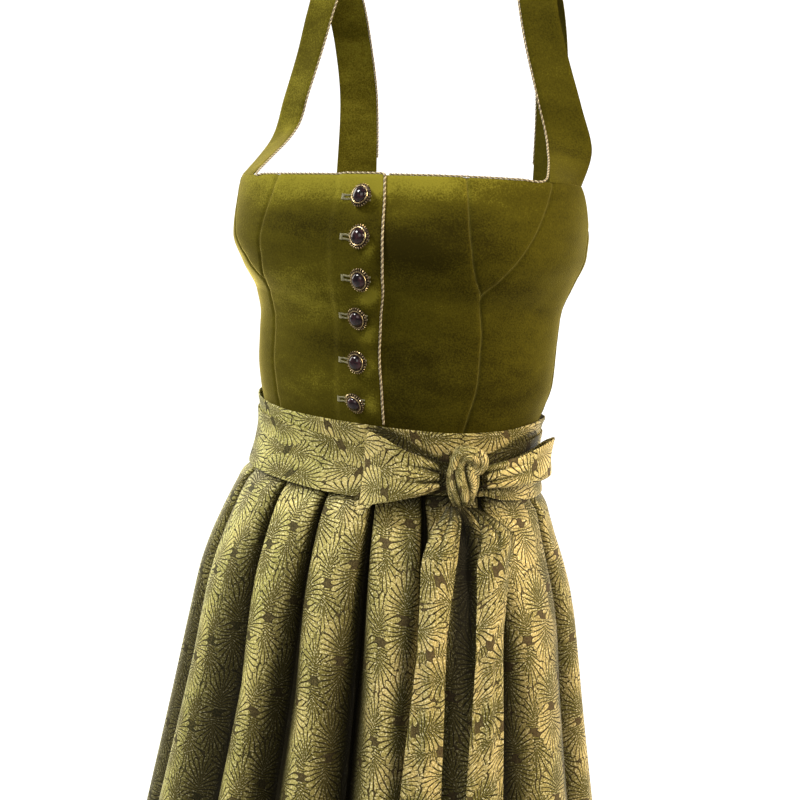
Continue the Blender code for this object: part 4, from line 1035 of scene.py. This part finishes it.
def twistedCord(name, node, route, radii):
    # two strands, one gold and one brown, laid round each other
    s = pipingSettings
    smooth = curveThrough(route, 6)
    path, at = resample(smooth, s["pitch"] / s["samples"])
    shares = [np.linspace(0, 1, len(line)) for line in (smooth, radii)]
    radius = np.interp(at, lengthsAlong(smooth), np.interp(*shares, radii))
    ahead, side, up = frameAlong(path)
    points, faces, slots = [], [], []
    for strand in range(2):
        turn = 2 * np.pi * at / s["pitch"] + np.pi * strand
        offset = side * np.cos(turn)[:, None] + up * np.sin(turn)[:, None]
        line = path + offset * (radius * s["offsetShare"])[:, None]
        more, extra = tubeMesh(line, radius * s["strandShare"], s["sides"], len(points))
        points += more.tolist()
        faces += extra
        slots += [strand] * len(extra)
    piece = linkMesh(name, points, faces, [goldCord, brownCord], sharp=80, fixNormals=False)
    piece.data.polygons.foreach_set("material_index", slots)
    dressPiece(piece, [node])


def strapRoute(side):
    grid = strapGrid(side)
    normal = gridNormals(grid) * -side
    away = grid[:, 0] - grid[:, 1]
    away /= np.linalg.norm(away, axis=1, keepdims=True)
    line = grid[:, 0] + normal[:, 0] * bodySettings["wall"] / 2
    return (line + away * pipingSettings["neckAbove"])[6:-5:5]


def makePiping():
    s, body = pipingSettings, bodySettings
    wall, above, neckAbove = body["wall"], s["above"], s["neckAbove"]

    def beside(away, z, rise=0.0):
        x = float(placketEdge(z))
        spot = bodyPoints(edgeAngle(x, z), z, wall + s["radius"] + s["clear"])
        return np.array([x + away, spot[1], z + rise])

    def onNeck(angles, lifted=0.0):
        heights = [float(topHeights(a)) for a in angles]
        return [bodyPoints(a, z + neckAbove, wall / 2 + lifted * float(placketLifts(a, z)))
                for a, z in zip(angles, heights)]

    corner = float(topHeights(8.0))
    right = [beside(above, z) for z in np.arange(s["bottom"], body["neck"] - 0.003, s["step"])]
    for degrees in (0, 30, 60, 90):
        turn = math.radians(degrees)
        right.append(beside(above * 1.1 * math.cos(turn), corner, above * 1.1 * math.sin(turn)))
    count = len(right)
    angles = [float(edgeAngle(placketEdge(corner) - 0.0023, corner)), 3.0, -3.0]
    angles += [float(edgeAngle(body["underlapEdge"] - away, corner)) for away in (0.0018, 0.0092)]
    angles += s["neckRight"] + [2.0 - body["strapRight"][0]]
    right += onNeck(angles, 1.0) + list(strapRoute(-1))
    radii = [s["radius"]] * count + [s["neckRadius"]] * (len(right) - count)
    twistedCord("cord_piping_right", "piping_right", right, radii)
    start = float(edgeAngle(placketEdge(corner) + 2 * above + 0.0012, corner))
    left = onNeck([start, *s["neckLeft"], body["strapLeft"][0] - 2.0]) + list(strapRoute(1))
    ends = body["strapBack"][0] + 2.2
    back = onNeck(np.linspace(ends, 360.0 - ends, 15))
    for word, route in (("left", left), ("back", back)):
        twistedCord("cord_piping_" + word, "piping_" + word, route, [s["neckRadius"]] * 2)


makePiping()

print("buttons and buttonholes")

buttonSettings = {
    "heights": (-0.1872, -0.2165, -0.2461, -0.2763, -0.3128, -0.345),
    "angles": (4.4, 6.0, 6.6, 3.3, 2.1, 1.8), "tilt": -13.0, "unevenTilt": 1.6, "lastNod": 16.0,
    # outline of the plate and its shank, radius and height
    "plate": [
        (0.0, 0.0), (0.0021, 0.0), (0.0021, 0.0024), (0.008, 0.0026), (0.009, 0.0034),
        (0.0089, 0.004), (0.007, 0.0045), (0.0064, 0.0056), (0.0061, 0.0056), (0.006, 0.0044),
        (0.0, 0.0043)],
    # radius, thickness and height of the ring; reach, height and radius along a bead
    "ring": (0.0068, 0.00056, 0.0056), "beads": 26, "sides": 48,
    "bead": [(0.008, 0.0047, 0.00026), (0.0086, 0.005, 0.00048), (0.0093, 0.0044, 0.00034)],
    # radius, seat and rise of the stone
    "stone": (0.0062, 0.005, 0.0043), "stoneFoot": [(0.0, 0.0046), (0.0058, 0.0046)]}
buttonholeSettings = {
    "length": 0.02, "inside": 0.0055, "below": 0.0006, "bar": 0.0015, "stitch": 0.00062,
    "thread": 0.00032, "slant": 0.00018, "arch": 0.00045}


def latheMesh(profile, sides, start):
    points, rings, faces = [], [], []
    for radius, height in profile:
        if radius == 0.0:
            rings.append([start + len(points)])
            points.append((0.0, 0.0, height))
            continue
        rings.append([start + len(points) + k for k in range(sides)])
        for k in range(sides):
            turn = 2 * math.pi * k / sides
            points.append((radius * math.cos(turn), radius * math.sin(turn), height))
    for low, high in zip(rings, rings[1:]):
        for k in range(sides):
            n = (k + 1) % sides
            if len(low) == 1:
                faces.append((low[0], high[n], high[k]))
            elif len(high) == 1:
                faces.append((low[k], low[n], high[0]))
            else:
                faces.append((low[k], low[n], high[n], high[k]))
    return points, faces


def torusMesh(major, minor, height, sides, around, start):
    points, faces = [], []
    for i in range(sides):
        turn = 2 * math.pi * i / sides
        for k in range(around):
            small = 2 * math.pi * k / around
            radius = major + minor * math.cos(small)
            points.append((radius * math.cos(turn), radius * math.sin(turn),
                           height + minor * math.sin(small)))
            n, m = (k + 1) % around, (i + 1) % sides
            faces.append((start + i * around + k, start + m * around + k,
                          start + m * around + n, start + i * around + n))
    return points, faces


def filigreeRim():
    # a dark plate with a shank, a bright ring round the stone, and a toothed row of beads
    s = buttonSettings
    points, faces = latheMesh(s["plate"], s["sides"], 0)
    slots = [1] * len(faces)
    more, extra = torusMesh(*s["ring"], s["sides"] * 2, 8, len(points))
    points += more
    faces += extra
    for k in range(s["beads"]):
        turn = 2 * math.pi * (k + 0.5) / s["beads"]
        path = [(reach * math.cos(turn), reach * math.sin(turn), height)
                for reach, height, _ in s["bead"]]
        thick = np.array([row[2] for row in s["bead"]])
        more, extra = tubeMesh(np.array(path), thick, 6, len(points))
        points += more.tolist()
        faces += extra
    return points, faces, slots + [0] * (len(faces) - len(slots))


def stoneDome():
    s = buttonSettings
    radius, seat, rise = s["stone"]
    arc = [(radius * math.cos(t), seat + rise * math.sin(t))
           for t in np.linspace(0, math.pi / 2, 12)[:-1]]
    return latheMesh([*s["stoneFoot"], *arc, (0.0, seat + rise)], s["sides"], 0)


def buttonPlace(index):
    s, body = buttonSettings, bodySettings
    z, angle = s["heights"][index], s["angles"][index]
    out = body["placketLift"] + body["wall"]
    seat = Vector(bodyPoints(angle, z, out))
    outward = (Vector(bodyPoints(angle, z, out + 0.001)) - seat).normalized()
    facing = outward.copy()
    tilt = math.radians(s["tilt"] + s["unevenTilt"] * math.sin(2.0 * index))
    facing.rotate(Matrix.Rotation(tilt, 3, "Z"))
    if index == len(s["heights"]) - 1:
        facing.rotate(Matrix.Rotation(math.radians(s["lastNod"]), 3, "X"))
    turn = Vector((0.0, 0.0, 1.0)).rotation_difference(facing).to_matrix().to_4x4()
    base = seat + outward * 0.0002 + facing * 0.0004
    return Matrix.Translation(base) @ turn @ Matrix.Rotation(0.7 * index, 4, "Z")


def stitchedBar(points, faces, path, half, lift):
    # close stitches laid across a path on the placket
    s = buttonholeSettings
    for here, direction in zip(path, frameAlong(path)[0]):
        across = lift.cross(Vector(direction)).normalized()
        slant = Vector(direction) * s["slant"]
        ends = [Vector(here) + across * half * t + lift * (s["arch"] * (1 - t * t)) + slant * t
                for t in (-1.0, -0.5, 0.0, 0.5, 1.0)]
        more, extra = tubeMesh(np.array(ends), s["thread"], 5, len(points))
        points += more.tolist()
        faces += extra


def makeButtonhole(index):
    s, body, button = buttonholeSettings, bodySettings, buttonSettings
    z, angle = button["heights"][index], button["angles"][index]
    out = body["placketLift"] + body["wall"] + 0.0001
    middle = bodyPoints(angle, z, out)
    lift = Vector(bodyPoints(angle, z, out + 0.001) - middle).normalized()
    startX, endX = middle[0] + s["inside"], middle[0] - s["length"] + s["inside"] / 2
    level, bar = z - s["below"], s["bar"]
    points, faces = [], []

    def onPlacket(x, height, rise):
        angles = edgeAngle(x, height)
        return bodyPoints(angles, height, body["wall"] + placketLifts(angles, height) + rise)

    for side in (-1, 1):
        x = np.arange(startX, endX, -s["stitch"])
        height = level + side * bar + 0.0002 * np.sin(x * 900)
        stitchedBar(points, faces, onPlacket(x, height, 0.0001), bar * 0.42, lift)
    height = level + np.linspace(-1, 1, 9) * bar * 1.3
    across = onPlacket(endX - 0.0003 + 0 * height, height, 0.0002)
    stitchedBar(points, faces, across, bar * 0.7, lift)
    piece = linkMesh(f"buttonhole_{index + 1}", points, faces, buttonholeThread, sharp=80,
                     fixNormals=False)
    dressPiece(piece, [])


def makeButtons():
    rimPoints, rimFaces, rimSlots = filigreeRim()
    made = (("rim", rimPoints, rimFaces, rimSlots, [oldGold, darkPatina], "old_gold"),
            ("stone", *stoneDome(), None, garnet, "dark_stone"))
    for index in range(len(buttonSettings["heights"])):
        place = buttonPlace(index)
        for word, points, faces, slots, material, slotName in made:
            moved = [place @ Vector(point) for point in points]
            piece = linkMesh(f"button_{word}_piece_{index + 1}", moved, faces, material, sharp=40,
                             fixNormals=False)
            if slots:
                piece.data.polygons.foreach_set("material_index", slots)
            dressPiece(piece, [f"button_{word}_{index + 1}"])
        makeButtonhole(index)


makeButtons()

print("skirt")


def pleatEdges(count, start, end, unevenness, phase):
    widths = np.array([1 + unevenness * math.sin(phase + 2.4 * i) for i in range(count)])
    return start + (end - start) * np.concatenate([[0.0], np.cumsum(widths) / widths.sum()])


def makeSkirt():
    s = skirtSettings
    seam = bodySettings["sideSeam"]
    upper = np.linspace(s["top"], s["fineBelow"], s["fineRows"])
    z = np.concatenate([upper, np.linspace(s["fineBelow"], s["hem"], s["rows"])[1:]])
    for name, start, end, count, fullness in (
            ("skirt_front", -seam, seam, s["frontGathers"], s["frontFullness"]),
            ("skirt_back", seam, 360.0 - seam, s["backGathers"], 1.0)):
        edges = pleatEdges(count, start, end, 0.12, 0.4)
        share = np.linspace(0, count, count * s["columns"] + 1)
        index = np.minimum(share.astype(int), count - 1)
        angle = edges[index] + (edges[index + 1] - edges[index]) * (share - index)
        angle, height = np.meshgrid(angle, z)
        inPleat = (share - index)[None, :]
        values = curveAt(skirtCurve, height)
        gather, under = values[..., 4], values[..., 5]
        # flatter where the apron lies over it
        covered = 1 - smoothStep(np.abs(wrapped(angle)), *s["underApron"])
        depth = gather * (fullness + (s["coveredFullness"] - fullness) * covered)
        sway = -0.1 * depth * np.sin(4 * np.pi * inPleat)
        lean = s["lean"] * np.sin(height * 14.0 + index[None, :] * 1.9)
        lean = lean * smoothStep(-height, 0.42, 0.6) * (1 - covered)
        wave = np.sin(np.pi * inPleat) ** 1.2
        inset = under * covered + depth * (1 - wave) + s["inset"]
        crest, outward, around = skirtFrames(angle, height)
        mid = crest - outward * (inset - lean)[..., None] + around * sway[..., None]
        blend = smoothStep(-height, 0.387, 0.42)[..., None]
        mid = bodyPoints(angle, height, 0.00075) * (1 - blend) + mid * blend
        clothSheet("cloth_" + name, name, mid, s["wall"], skirtCloth, "skirt_cloth", "gathered")


makeSkirt()

print("apron")

bowSettings = {
    "knotAngle": 52.0, "knotHeight": -0.398,
    "knotWide": 0.037, "knotTall": 0.049, "knotDeep": 0.026,
    "seat": 0.00034, "base": 0.0015, "wall": 0.0013, "belly": 0.0012,
    # gathers at the knot, and painted light taken off each loop's painted shade
    "gatherReach": 0.17, "gatherDepth": 0.003, "litRight": 0.05, "litLeft": 0.4,
    "shade": {"perDegree": 0.0026, "reach": 0.0038, "dark": 0.7},
    # place and width of the painted shadow between the tails
    "gap": {"middle": 49.9, "lean": 41.0, "half": 4.4},
    # size of the small creases: loop at the knot and round its fold, tail, tail at the knot
    "creases": (0.0005, 0.0007, 0.0007, 0.0016), "tailApart": 0.008, "tailPinch": 0.004,
    # knot: width at its middle, how it varies; its core, its rolls and their creases
    "waist": (0.6, 0.1, 0.12), "swell": (0.7, 0.26, 0.06), "rings": 90, "sides": 160,
    # arches over the knot: reach, radius, first and last angle, distance out
    "arches": [(0.0122, 0.004, 205.0, -95.0, 0.0), (0.006, 0.003, 190.0, -60.0, 0.0012)],
    # angle, distance out, top, bottom: from the knot round the fold and back behind
    "loopRight": [
        (43.8, 0.015, -0.387, -0.411), (38.0, 0.017, -0.38, -0.417),
        (30.0, 0.0185, -0.374, -0.422), (21.5, 0.017, -0.367, -0.427),
        (14.5, 0.0125, -0.363, -0.4305), (11.0, 0.008, -0.366, -0.43),
        (13.0, 0.0042, -0.37, -0.4275), (21.0, 0.0028, -0.374, -0.424),
        (31.0, 0.003, -0.38, -0.421), (43.8, 0.005, -0.389, -0.411)],
    "loopLeft": [
        (59.3, 0.016, -0.387, -0.409), (66.0, 0.019, -0.378, -0.408), (74.0, 0.02, -0.37, -0.406),
        (82.0, 0.018, -0.3655, -0.404), (87.5, 0.014, -0.366, -0.403),
        (89.5, 0.0095, -0.369, -0.404), (87.5, 0.0054, -0.373, -0.406),
        (79.0, 0.0028, -0.38, -0.408), (69.0, 0.003, -0.386, -0.409),
        (59.3, 0.005, -0.39, -0.4095)],
    # z, angle, distance out, half width, depth of the fold
    "tailRight": [
        (-0.429, 46.8, 0.0155, 0.008, 0.002), (-0.44, 44.4, 0.011, 0.011, 0.005),
        (-0.462, 41.6, 0.0065, 0.0135, 0.007), (-0.49, 39.8, 0.004, 0.012, 0.007),
        (-0.52, 38.4, 0.003, 0.011, 0.006), (-0.6, 36.4, 0.0025, 0.014, 0.005),
        (-0.7, 35.0, 0.0025, 0.018, 0.004), (-0.77, 34.4, 0.0025, 0.02, 0.003)],
    "tailLeft": [
        (-0.429, 58.6, 0.0155, 0.0085, 0.002), (-0.44, 61.0, 0.0115, 0.0145, 0.006),
        (-0.462, 58.6, 0.0065, 0.0145, 0.0075), (-0.49, 56.2, 0.004, 0.0125, 0.007),
        (-0.52, 54.2, 0.003, 0.0115, 0.006), (-0.6, 52.0, 0.0025, 0.014, 0.005),
        (-0.7, 50.4, 0.0025, 0.0175, 0.004), (-0.745, 50.0, 0.0025, 0.019, 0.003)]}


def tailGapShadow(angle, z):
    # painted shadow between the two tails, on the apron behind them
    s = bowSettings["gap"]
    middle = s["middle"] + s["lean"] * (max(z, -0.62) + 0.462)
    fade = 0.97 - 0.3 * smoothStep(-z, 0.5, 0.62) - 0.67 * smoothStep(-z, 0.62, 0.8)
    return fade * np.exp(-((angle - middle) / s["half"]) ** 4) * smoothStep(-z, 0.412, 0.43)


def bowShade(angle, z):
    # the soft shadow that the loops of the bow throw on the band and the ties
    s = bowSettings["shade"]
    total = 0.0 * angle
    for name, side in (("loopRight", -1), ("loopLeft", 1)):
        table = np.array(sorted(bowSettings[name][:6]))
        last = table[0 if side < 0 else -1, 0]
        top, bottom = [np.interp(angle, table[:, 0], table[:, k]) for k in (2, 3)]
        beyond = np.maximum(0.0, side * (angle - last)) * s["perDegree"]
        above, below = np.maximum(0.0, z - top), np.maximum(0.0, bottom - z)
        near = side * (angle - 50.0) > 0
        away = np.sqrt((beyond * 0.9) ** 2 + (above * 2.6) ** 2 + (below * 0.7) ** 2)
        total = np.maximum(total, near * s["dark"] * np.exp(-away / s["reach"]))
    return total


apronSettings = {
    # valleys between the pleats, by angle: pressed below the band and hanging open
    "valleys": [
        (-120.0, -120.0), (-105.0, -105.0), (-88.0, -87.0), (-62.0, -58.0), (-36.5, -28.5),
        (-11.4, -7.5), (14.4, 14.8), (37.0, 36.5), (60.0, 60.0), (88.0, 91.0), (105.0, 106.5),
        (120.0, 120.0)],
    "pressed": -0.425, "open": -0.585, "unevenness": 0.12,
    "top": -0.4165, "hem": -1.032, "wall": 0.0012, "patternPitch": 0.118,
    # share of the pitch and of the depth, pressed flat below the band and hanging open
    "shape": [
        (-0.5, 0.0, -0.5, 0.02), (-0.455, 0.1, -0.42, 0.09), (-0.44, 0.8, -0.335, 0.42),
        (-0.36, 0.96, -0.24, 0.76), (-0.18, 0.93, -0.12, 0.95), (0.0, 1.0, 0.0, 1.0),
        (0.18, 0.93, 0.12, 0.95), (0.36, 0.96, 0.24, 0.76), (0.44, 0.8, 0.335, 0.42),
        (0.455, 0.1, 0.42, 0.09), (0.5, 0.0, 0.5, 0.02)],
    "columnsPerSpan": 4, "rows": 108, "fineRows": 52, "fineBelow": -0.53,
    # how dark the painted shade is in a valley, on the far side of a pleat and under the band
    "valleyDark": (1.12, 1.25), "farSide": 0.78, "bandShadow": 0.8}


def smoothShape(rows, steps):
    # pleat outline on finer points, rounded at its corners by three passes of smoothing
    points = np.array(rows)
    fine = [points[0]]
    for a, b in zip(points[:-1], points[1:]):
        fine += [a + (b - a) * k / steps for k in range(1, steps + 1)]
    fine = np.array(fine)
    for _ in range(3):
        fine[1:-1] = (fine[:-2] + 2 * fine[1:-1] + fine[2:]) / 4
    return fine


def makeApron():
    s = apronSettings
    valleys = np.array(s["valleys"])
    count = len(valleys) - 1
    shape = smoothShape(s["shape"], s["columnsPerSpan"])
    upper = np.linspace(s["top"], s["fineBelow"], s["fineRows"])
    lower = np.linspace(s["fineBelow"], s["hem"], s["rows"] - s["fineRows"])
    z = np.concatenate([upper, lower[1:]])
    opening = np.clip((s["pressed"] - z) / (s["pressed"] - s["open"]), 0, 1) ** 0.8
    rows, maps, depths = [], [], []
    for height, opened in zip(z, opening):
        depth = curveAt(skirtCurve, height)[3]
        edges = valleys[:, 0] + (valleys[:, 1] - valleys[:, 0]) * opened
        share = shape[:, 0] * (1 - opened) + shape[:, 2] * opened
        rise = shape[:, 1] * (1 - opened) + shape[:, 3] * opened
        line, run, low = [], [], []
        for i in range(count):
            deep = depth * (1 + s["unevenness"] * math.sin(2.1 * i + 0.7))
            angle = edges[i] + (edges[i + 1] - edges[i]) * (share + 0.5)
            crest, outward, _ = skirtFrames(angle, height)
            here = crest - outward * (deep * (1 - rise))[:, None]
            arc = lengthsAlong(here)
            last = len(here) if i == count - 1 else len(here) - 1
            line.append(here[:last])
            run.append((arc - arc[len(arc) // 2] + i * s["patternPitch"])[:last])
            # painted shade on the far side of a pleat, which faces away from the light at the
            # wearer's right
            paintedFarSideShade = s["farSide"] * smoothStep(share, -0.04, 0.38) * opened
            deepest = np.maximum(s["valleyDark"][0] - s["valleyDark"][1] * rise, paintedFarSideShade)
            low.append(np.maximum(deepest, tailGapShadow(angle, height))[:last])
        for table, made in ((rows, line), (maps, run), (depths, low)):
            table.append(np.concatenate(made))
    mid = np.array(rows)
    uv = np.stack([np.array(maps), -lengthsDown(mid)], -1)
    shadow = s["bandShadow"] * np.exp(-((z - s["top"]) / 0.01) ** 2)[:, None]
    clothSheet("jacquard_apron_panel", "apron_panel", mid, s["wall"], jacquard, "leaf_jacquard",
               "gathered", uv, hollow=np.maximum(np.array(depths), shadow))


makeApron()

print("waistband and ties")

bandSettings = {
    "end": 120.0, "inner": 0.0041, "wall": 0.0016, "bottom": -0.4165,
    "waver": 0.00018, "edgeRoll": 0.00045, "lit": 0.3, "ripple": 0.0007,
    # angle and z of the upper edge
    "topLine": [
        (-120.0, -0.36), (-86.0, -0.357), (-62.0, -0.3605), (-40.0, -0.3632), (0.0, -0.3638),
        (44.0, -0.3636), (66.0, -0.3605), (88.0, -0.356), (120.0, -0.36)],
    "tieInner": 0.00625, "tieWall": 0.0013,
    # angle, top, bottom, layer
    "tieRight": [
        (-120.25, -0.366, -0.4165, 0.0), (-133.0, -0.369, -0.405, 0.0),
        (-150.0, -0.37, -0.3925, 0.0), (-180.0, -0.37, -0.3925, 0.5),
        (-210.0, -0.37, -0.3925, 1.0), (-227.0, -0.37, -0.406, 1.0), (-240.0, -0.37, -0.421, 1.0),
        (-268.0, -0.37, -0.424, 1.0), (-292.0, -0.376, -0.42, 1.0), (-299.5, -0.385, -0.416, 1.0),
        (-308.05, -0.388, -0.416, 1.0)],
    "tieLeft": [
        (120.25, -0.366, -0.4165, 0.0), (133.0, -0.38, -0.418, 0.0),
        (150.0, -0.3935, -0.418, 0.0), (180.0, -0.3935, -0.418, 0.5),
        (210.0, -0.3935, -0.418, 1.0), (227.0, -0.382, -0.42, 1.0),
        (240.0, -0.3715, -0.4215, 1.0), (290.0, -0.372, -0.4235, 1.0),
        (325.0, -0.3745, -0.424, 1.0), (355.0, -0.3795, -0.425, 1.0),
        (385.0, -0.383, -0.423, 1.0), (403.5, -0.388, -0.416, 1.0), (411.7, -0.39, -0.416, 1.0)]}


def makeBand():
    s = bandSettings
    angle, share = np.meshgrid(np.linspace(-s["end"], s["end"], 240), np.linspace(0, 1, 26))
    top = curveAt(makeCurve(s["topLine"]), angle)[..., 0]
    z = top + (s["bottom"] - top) * share
    out = s["inner"] + s["wall"] / 2 + s["waver"] * np.sin(angle * 0.9 + z * 160.0)
    out = out + s["edgeRoll"] * np.exp(-((share - 0.035) / 0.03) ** 2)
    # painted shadow of the loops, and painted light on the band towards the wearer's right
    hollow = bowShade(angle, z) - s["lit"] * smoothStep(-angle, -20.0, 40.0)
    clothSheet("jacquard_waistband", "apron_waistband", bodyPoints(angle, z, out), s["wall"],
               bandJacquard, "leaf_jacquard", "stretched", hollow=hollow)


def makeTies():
    s = bandSettings
    for name, table in (("apron_tie_right", s["tieRight"]), ("apron_tie_left", s["tieLeft"])):
        curve = makeCurve(table)
        angle = np.linspace(curve["x"][0], curve["x"][-1], 280)
        top, bottom, layer = curveAt(curve, angle).T
        share = np.linspace(0, 1, 26)[:, None]
        z = top + (bottom - top) * share
        out = s["inner"] + (s["tieInner"] - s["inner"]) * layer + s["tieWall"] / 2
        narrow = 1 - smoothStep(top - bottom, 0.03, 0.048)
        ripple = np.sin(share * 17.0 + angle * 0.05) * s["ripple"] * narrow
        mid = bodyPoints(angle, z, out + np.maximum(ripple, -0.0001))
        shade = bowShade(wrapped(angle) + 0 * share, z) * (layer > 0.9)
        clothSheet("jacquard_" + name, name, mid, s["tieWall"], bandJacquard, "leaf_jacquard",
                   "stretched", hollow=shade)


makeBand()
makeTies()

print("bow")


def knotFrame():
    # middle of the knot, and the ways round to the wearer's left, outward and up from it
    s = bowSettings
    out = bandSettings["tieInner"] + s["base"] + s["seat"] + s["knotDeep"] / 2
    centre = bodyPoints(s["knotAngle"], s["knotHeight"], out)
    outward = bodyPoints(s["knotAngle"], s["knotHeight"], out + 0.001) - centre
    outward /= np.linalg.norm(outward)
    away = np.array([-outward[1], outward[0], 0.0])
    away /= np.linalg.norm(away)
    return centre, away, outward, np.cross(outward, away)


def makeLoops():
    s = bowSettings
    for name, table, lit in (("bow_loop_right", s["loopRight"], s["litRight"]),
                             ("bow_loop_left", s["loopLeft"], s["litLeft"])):
        stations = curveThrough(table, 12)
        share = np.linspace(0, 1, 40)[:, None]
        angle, out, top, bottom = stations.T
        z = top + (bottom - top) * share
        along = np.linspace(0, 1, len(stations))
        # folds gather towards the knot and smooth out round the loop
        close = np.exp(-(np.minimum(along, 1 - along) / s["gatherReach"]) ** 2)
        pulled = np.abs(np.sin(share * 9.0 + 0.9 * along))
        folds = (pulled - 0.6) * s["gatherDepth"] * close
        near, far = s["creases"][:2]
        folds = folds + np.sin(share * 23.0 + 2.0 * along) * near * close
        folds = folds + np.sin(share * 5.0 - 9.0 * along) * far * (1 - close)
        belly = s["belly"] * np.sin(np.pi * share)
        mid = bodyPoints(angle, z, bandSettings["tieInner"] + s["base"] + out + belly + folds)
        # painted shade in the gathers by the knot, at the loop's start and on its far half, less
        # a painted light
        hollow = close * (1.25 * (1 - pulled) ** 1.2) + 0.55 * np.exp(-along / 0.035)
        hollow = np.maximum(hollow, smoothStep(along, 0.6, 0.75) * 0.8) - lit
        if name == "bow_loop_right":
            mid, hollow = mid[:, ::-1], hollow[:, ::-1]
        clothSheet("jacquard_" + name, name, mid, s["wall"], bowJacquard, "leaf_jacquard",
                   "folded", hollow=hollow)


def makeKnot():
    # a narrow bundle of upright rolls with an arch of cloth over its top, hooked in at its end
    s = bowSettings
    wide, tall, deep = s["knotWide"] / 2, s["knotTall"] / 2, s["knotDeep"] / 2
    centre, away, outward, up = knotFrame()
    rings, sides = s["rings"], s["sides"]
    narrow, wavy, flared = s["waist"]
    core, rolled, creased = s["swell"]
    lift = -np.cos(np.pi * np.arange(1, rings) / rings)[:, None]
    turn = 2 * np.pi * np.arange(sides)[None, :] / sides
    girth = (1 - lift ** 2) ** 0.28
    waist = narrow + wavy * np.cos(2.6 * lift + 0.4) + flared * lift ** 2
    phase = 3.5 * turn + 1.5 * lift + 0.6 * np.sin(turn + 2.4 * lift)
    roll = np.abs(np.sin(phase)) ** 0.55
    small = np.abs(np.sin(2.0 * phase + 2.0 * lift)) ** 0.7
    swell = core + rolled * roll + creased * small
    x, y = [np.sign(way) * np.abs(way) ** 0.85 * girth * swell
            for way in (np.cos(turn), np.sin(turn))]
    body = centre - away * (x * waist * wide)[..., None] + outward * (y * deep)[..., None]
    body = body + up * (lift * tall * 0.97)[..., None]
    points = [centre - up * tall * 0.96, *body.reshape(-1, 3), centre + up * tall * 0.94]
    maps = [(0.034 * (2 * math.pi * k / sides), float(h) * 0.03)
            for h in lift[:, 0] for k in range(sides)]
    maps = [(0.0, 0.0), *maps, (0.0, 0.03)]
    # painted shade in the creases between the rolls and towards the knot's bottom
    hollow = 1.3 * (1 - roll) ** 1.3 + 0.4 * (1 - small) ** 2
    hollow = hollow + 0.35 * smoothStep(-lift, 0.65, 1.0)
    shade = [0.8, *hollow.ravel(), 0.3]
    last = len(points) - 1
    faces = ringFaces(1, rings - 1, sides)
    for k in range(sides):
        n = (k + 1) % sides
        faces += [(0, 1 + n, 1 + k), (last - sides + k, last - sides + n, last)]
    middle = centre + away * 0.003 + up * 0.0105 + outward * 0.008
    for reach, radius, start, end, over in s["arches"]:
        path, thick = [], []
        for step in np.linspace(0, 1, 50):
            wind = math.radians(start + (end - start) * step)
            near = reach * (1 - 0.35 * step ** 2)
            path.append(middle + away * (near * math.cos(wind) * 1.05)
                        + up * (near * math.sin(wind) * 0.85)
                        + outward * (over + 0.003 * math.sin(math.pi * step)))
            thick.append(radius * (0.55 + 0.45 * math.sin(math.pi * (0.12 + 0.8 * step))))
        more, extra = tubeMesh(np.array(path), np.array(thick), 16, len(points))
        points += list(more)
        faces += extra
        maps += [(0.002 * k, 0.0015 * r) for r in range(50) for k in range(16)]
        # painted shade round each arch
        around = [0.25 * (0.5 + 0.5 * math.cos(6 * math.pi * k / 16)) for k in range(16)]
        shade += around * 50
    piece = linkMesh("jacquard_bow_knot", points, faces, bowJacquard, np.array(maps), sharp=80)
    paintLayer(piece, "hollow", np.array(shade) - 0.25)
    dressPiece(piece, ["bow_knot"])


def makeTails():
    s = bowSettings
    centre, away, _, up = knotFrame()
    for name, table, side in (("bow_tail_right", s["tailRight"], -1),
                              ("bow_tail_left", s["tailLeft"], 1)):
        curve = makeCurve(table)
        share = np.linspace(-1, 1, 41)
        crease, drawn = s["creases"][2:]
        # the first row is pinched into the underside of the knot
        base = centre - up * (s["knotTall"] / 2 + 0.0002) + away * (side * s["tailApart"])
        grid, depths = [base + away * s["tailPinch"] * share[:, None]], [0.9 + 0 * share]
        for height in np.linspace(table[0][0], table[-1][0], 110):
            angle, out, half, fold = curveAt(curve, height)
            crest, outwards, level = skirtFrames(angle, height)
            gather = math.exp(-(height + 0.429) ** 2 / 0.0005)
            pulled = np.abs(np.sin(share * 3.6 + 0.6))
            hump = (1 - np.abs(share)) * fold + crease * np.sin(share * 7.0 + height * 30.0)
            hump = hump + drawn * gather * (pulled - 0.5) + out + s["base"]
            grid.append(crest + outwards * hump[:, None] + level * (half * share)[:, None])
            # painted shade in the gathers under the knot and just below it
            near = math.exp(-(height + 0.422) ** 2 / 0.00008)
            depths.append(gather * 0.9 * (1 - pulled) ** 2 + 0.8 * near)
        grid = np.array(grid)
        mid = grid + gridNormals(grid) * s["wall"] / 2
        clothSheet("jacquard_" + name, name, mid, s["wall"], bowJacquard, "leaf_jacquard", "hung",
                   hollow=np.array(depths))


makeLoops()
makeKnot()
makeTails()
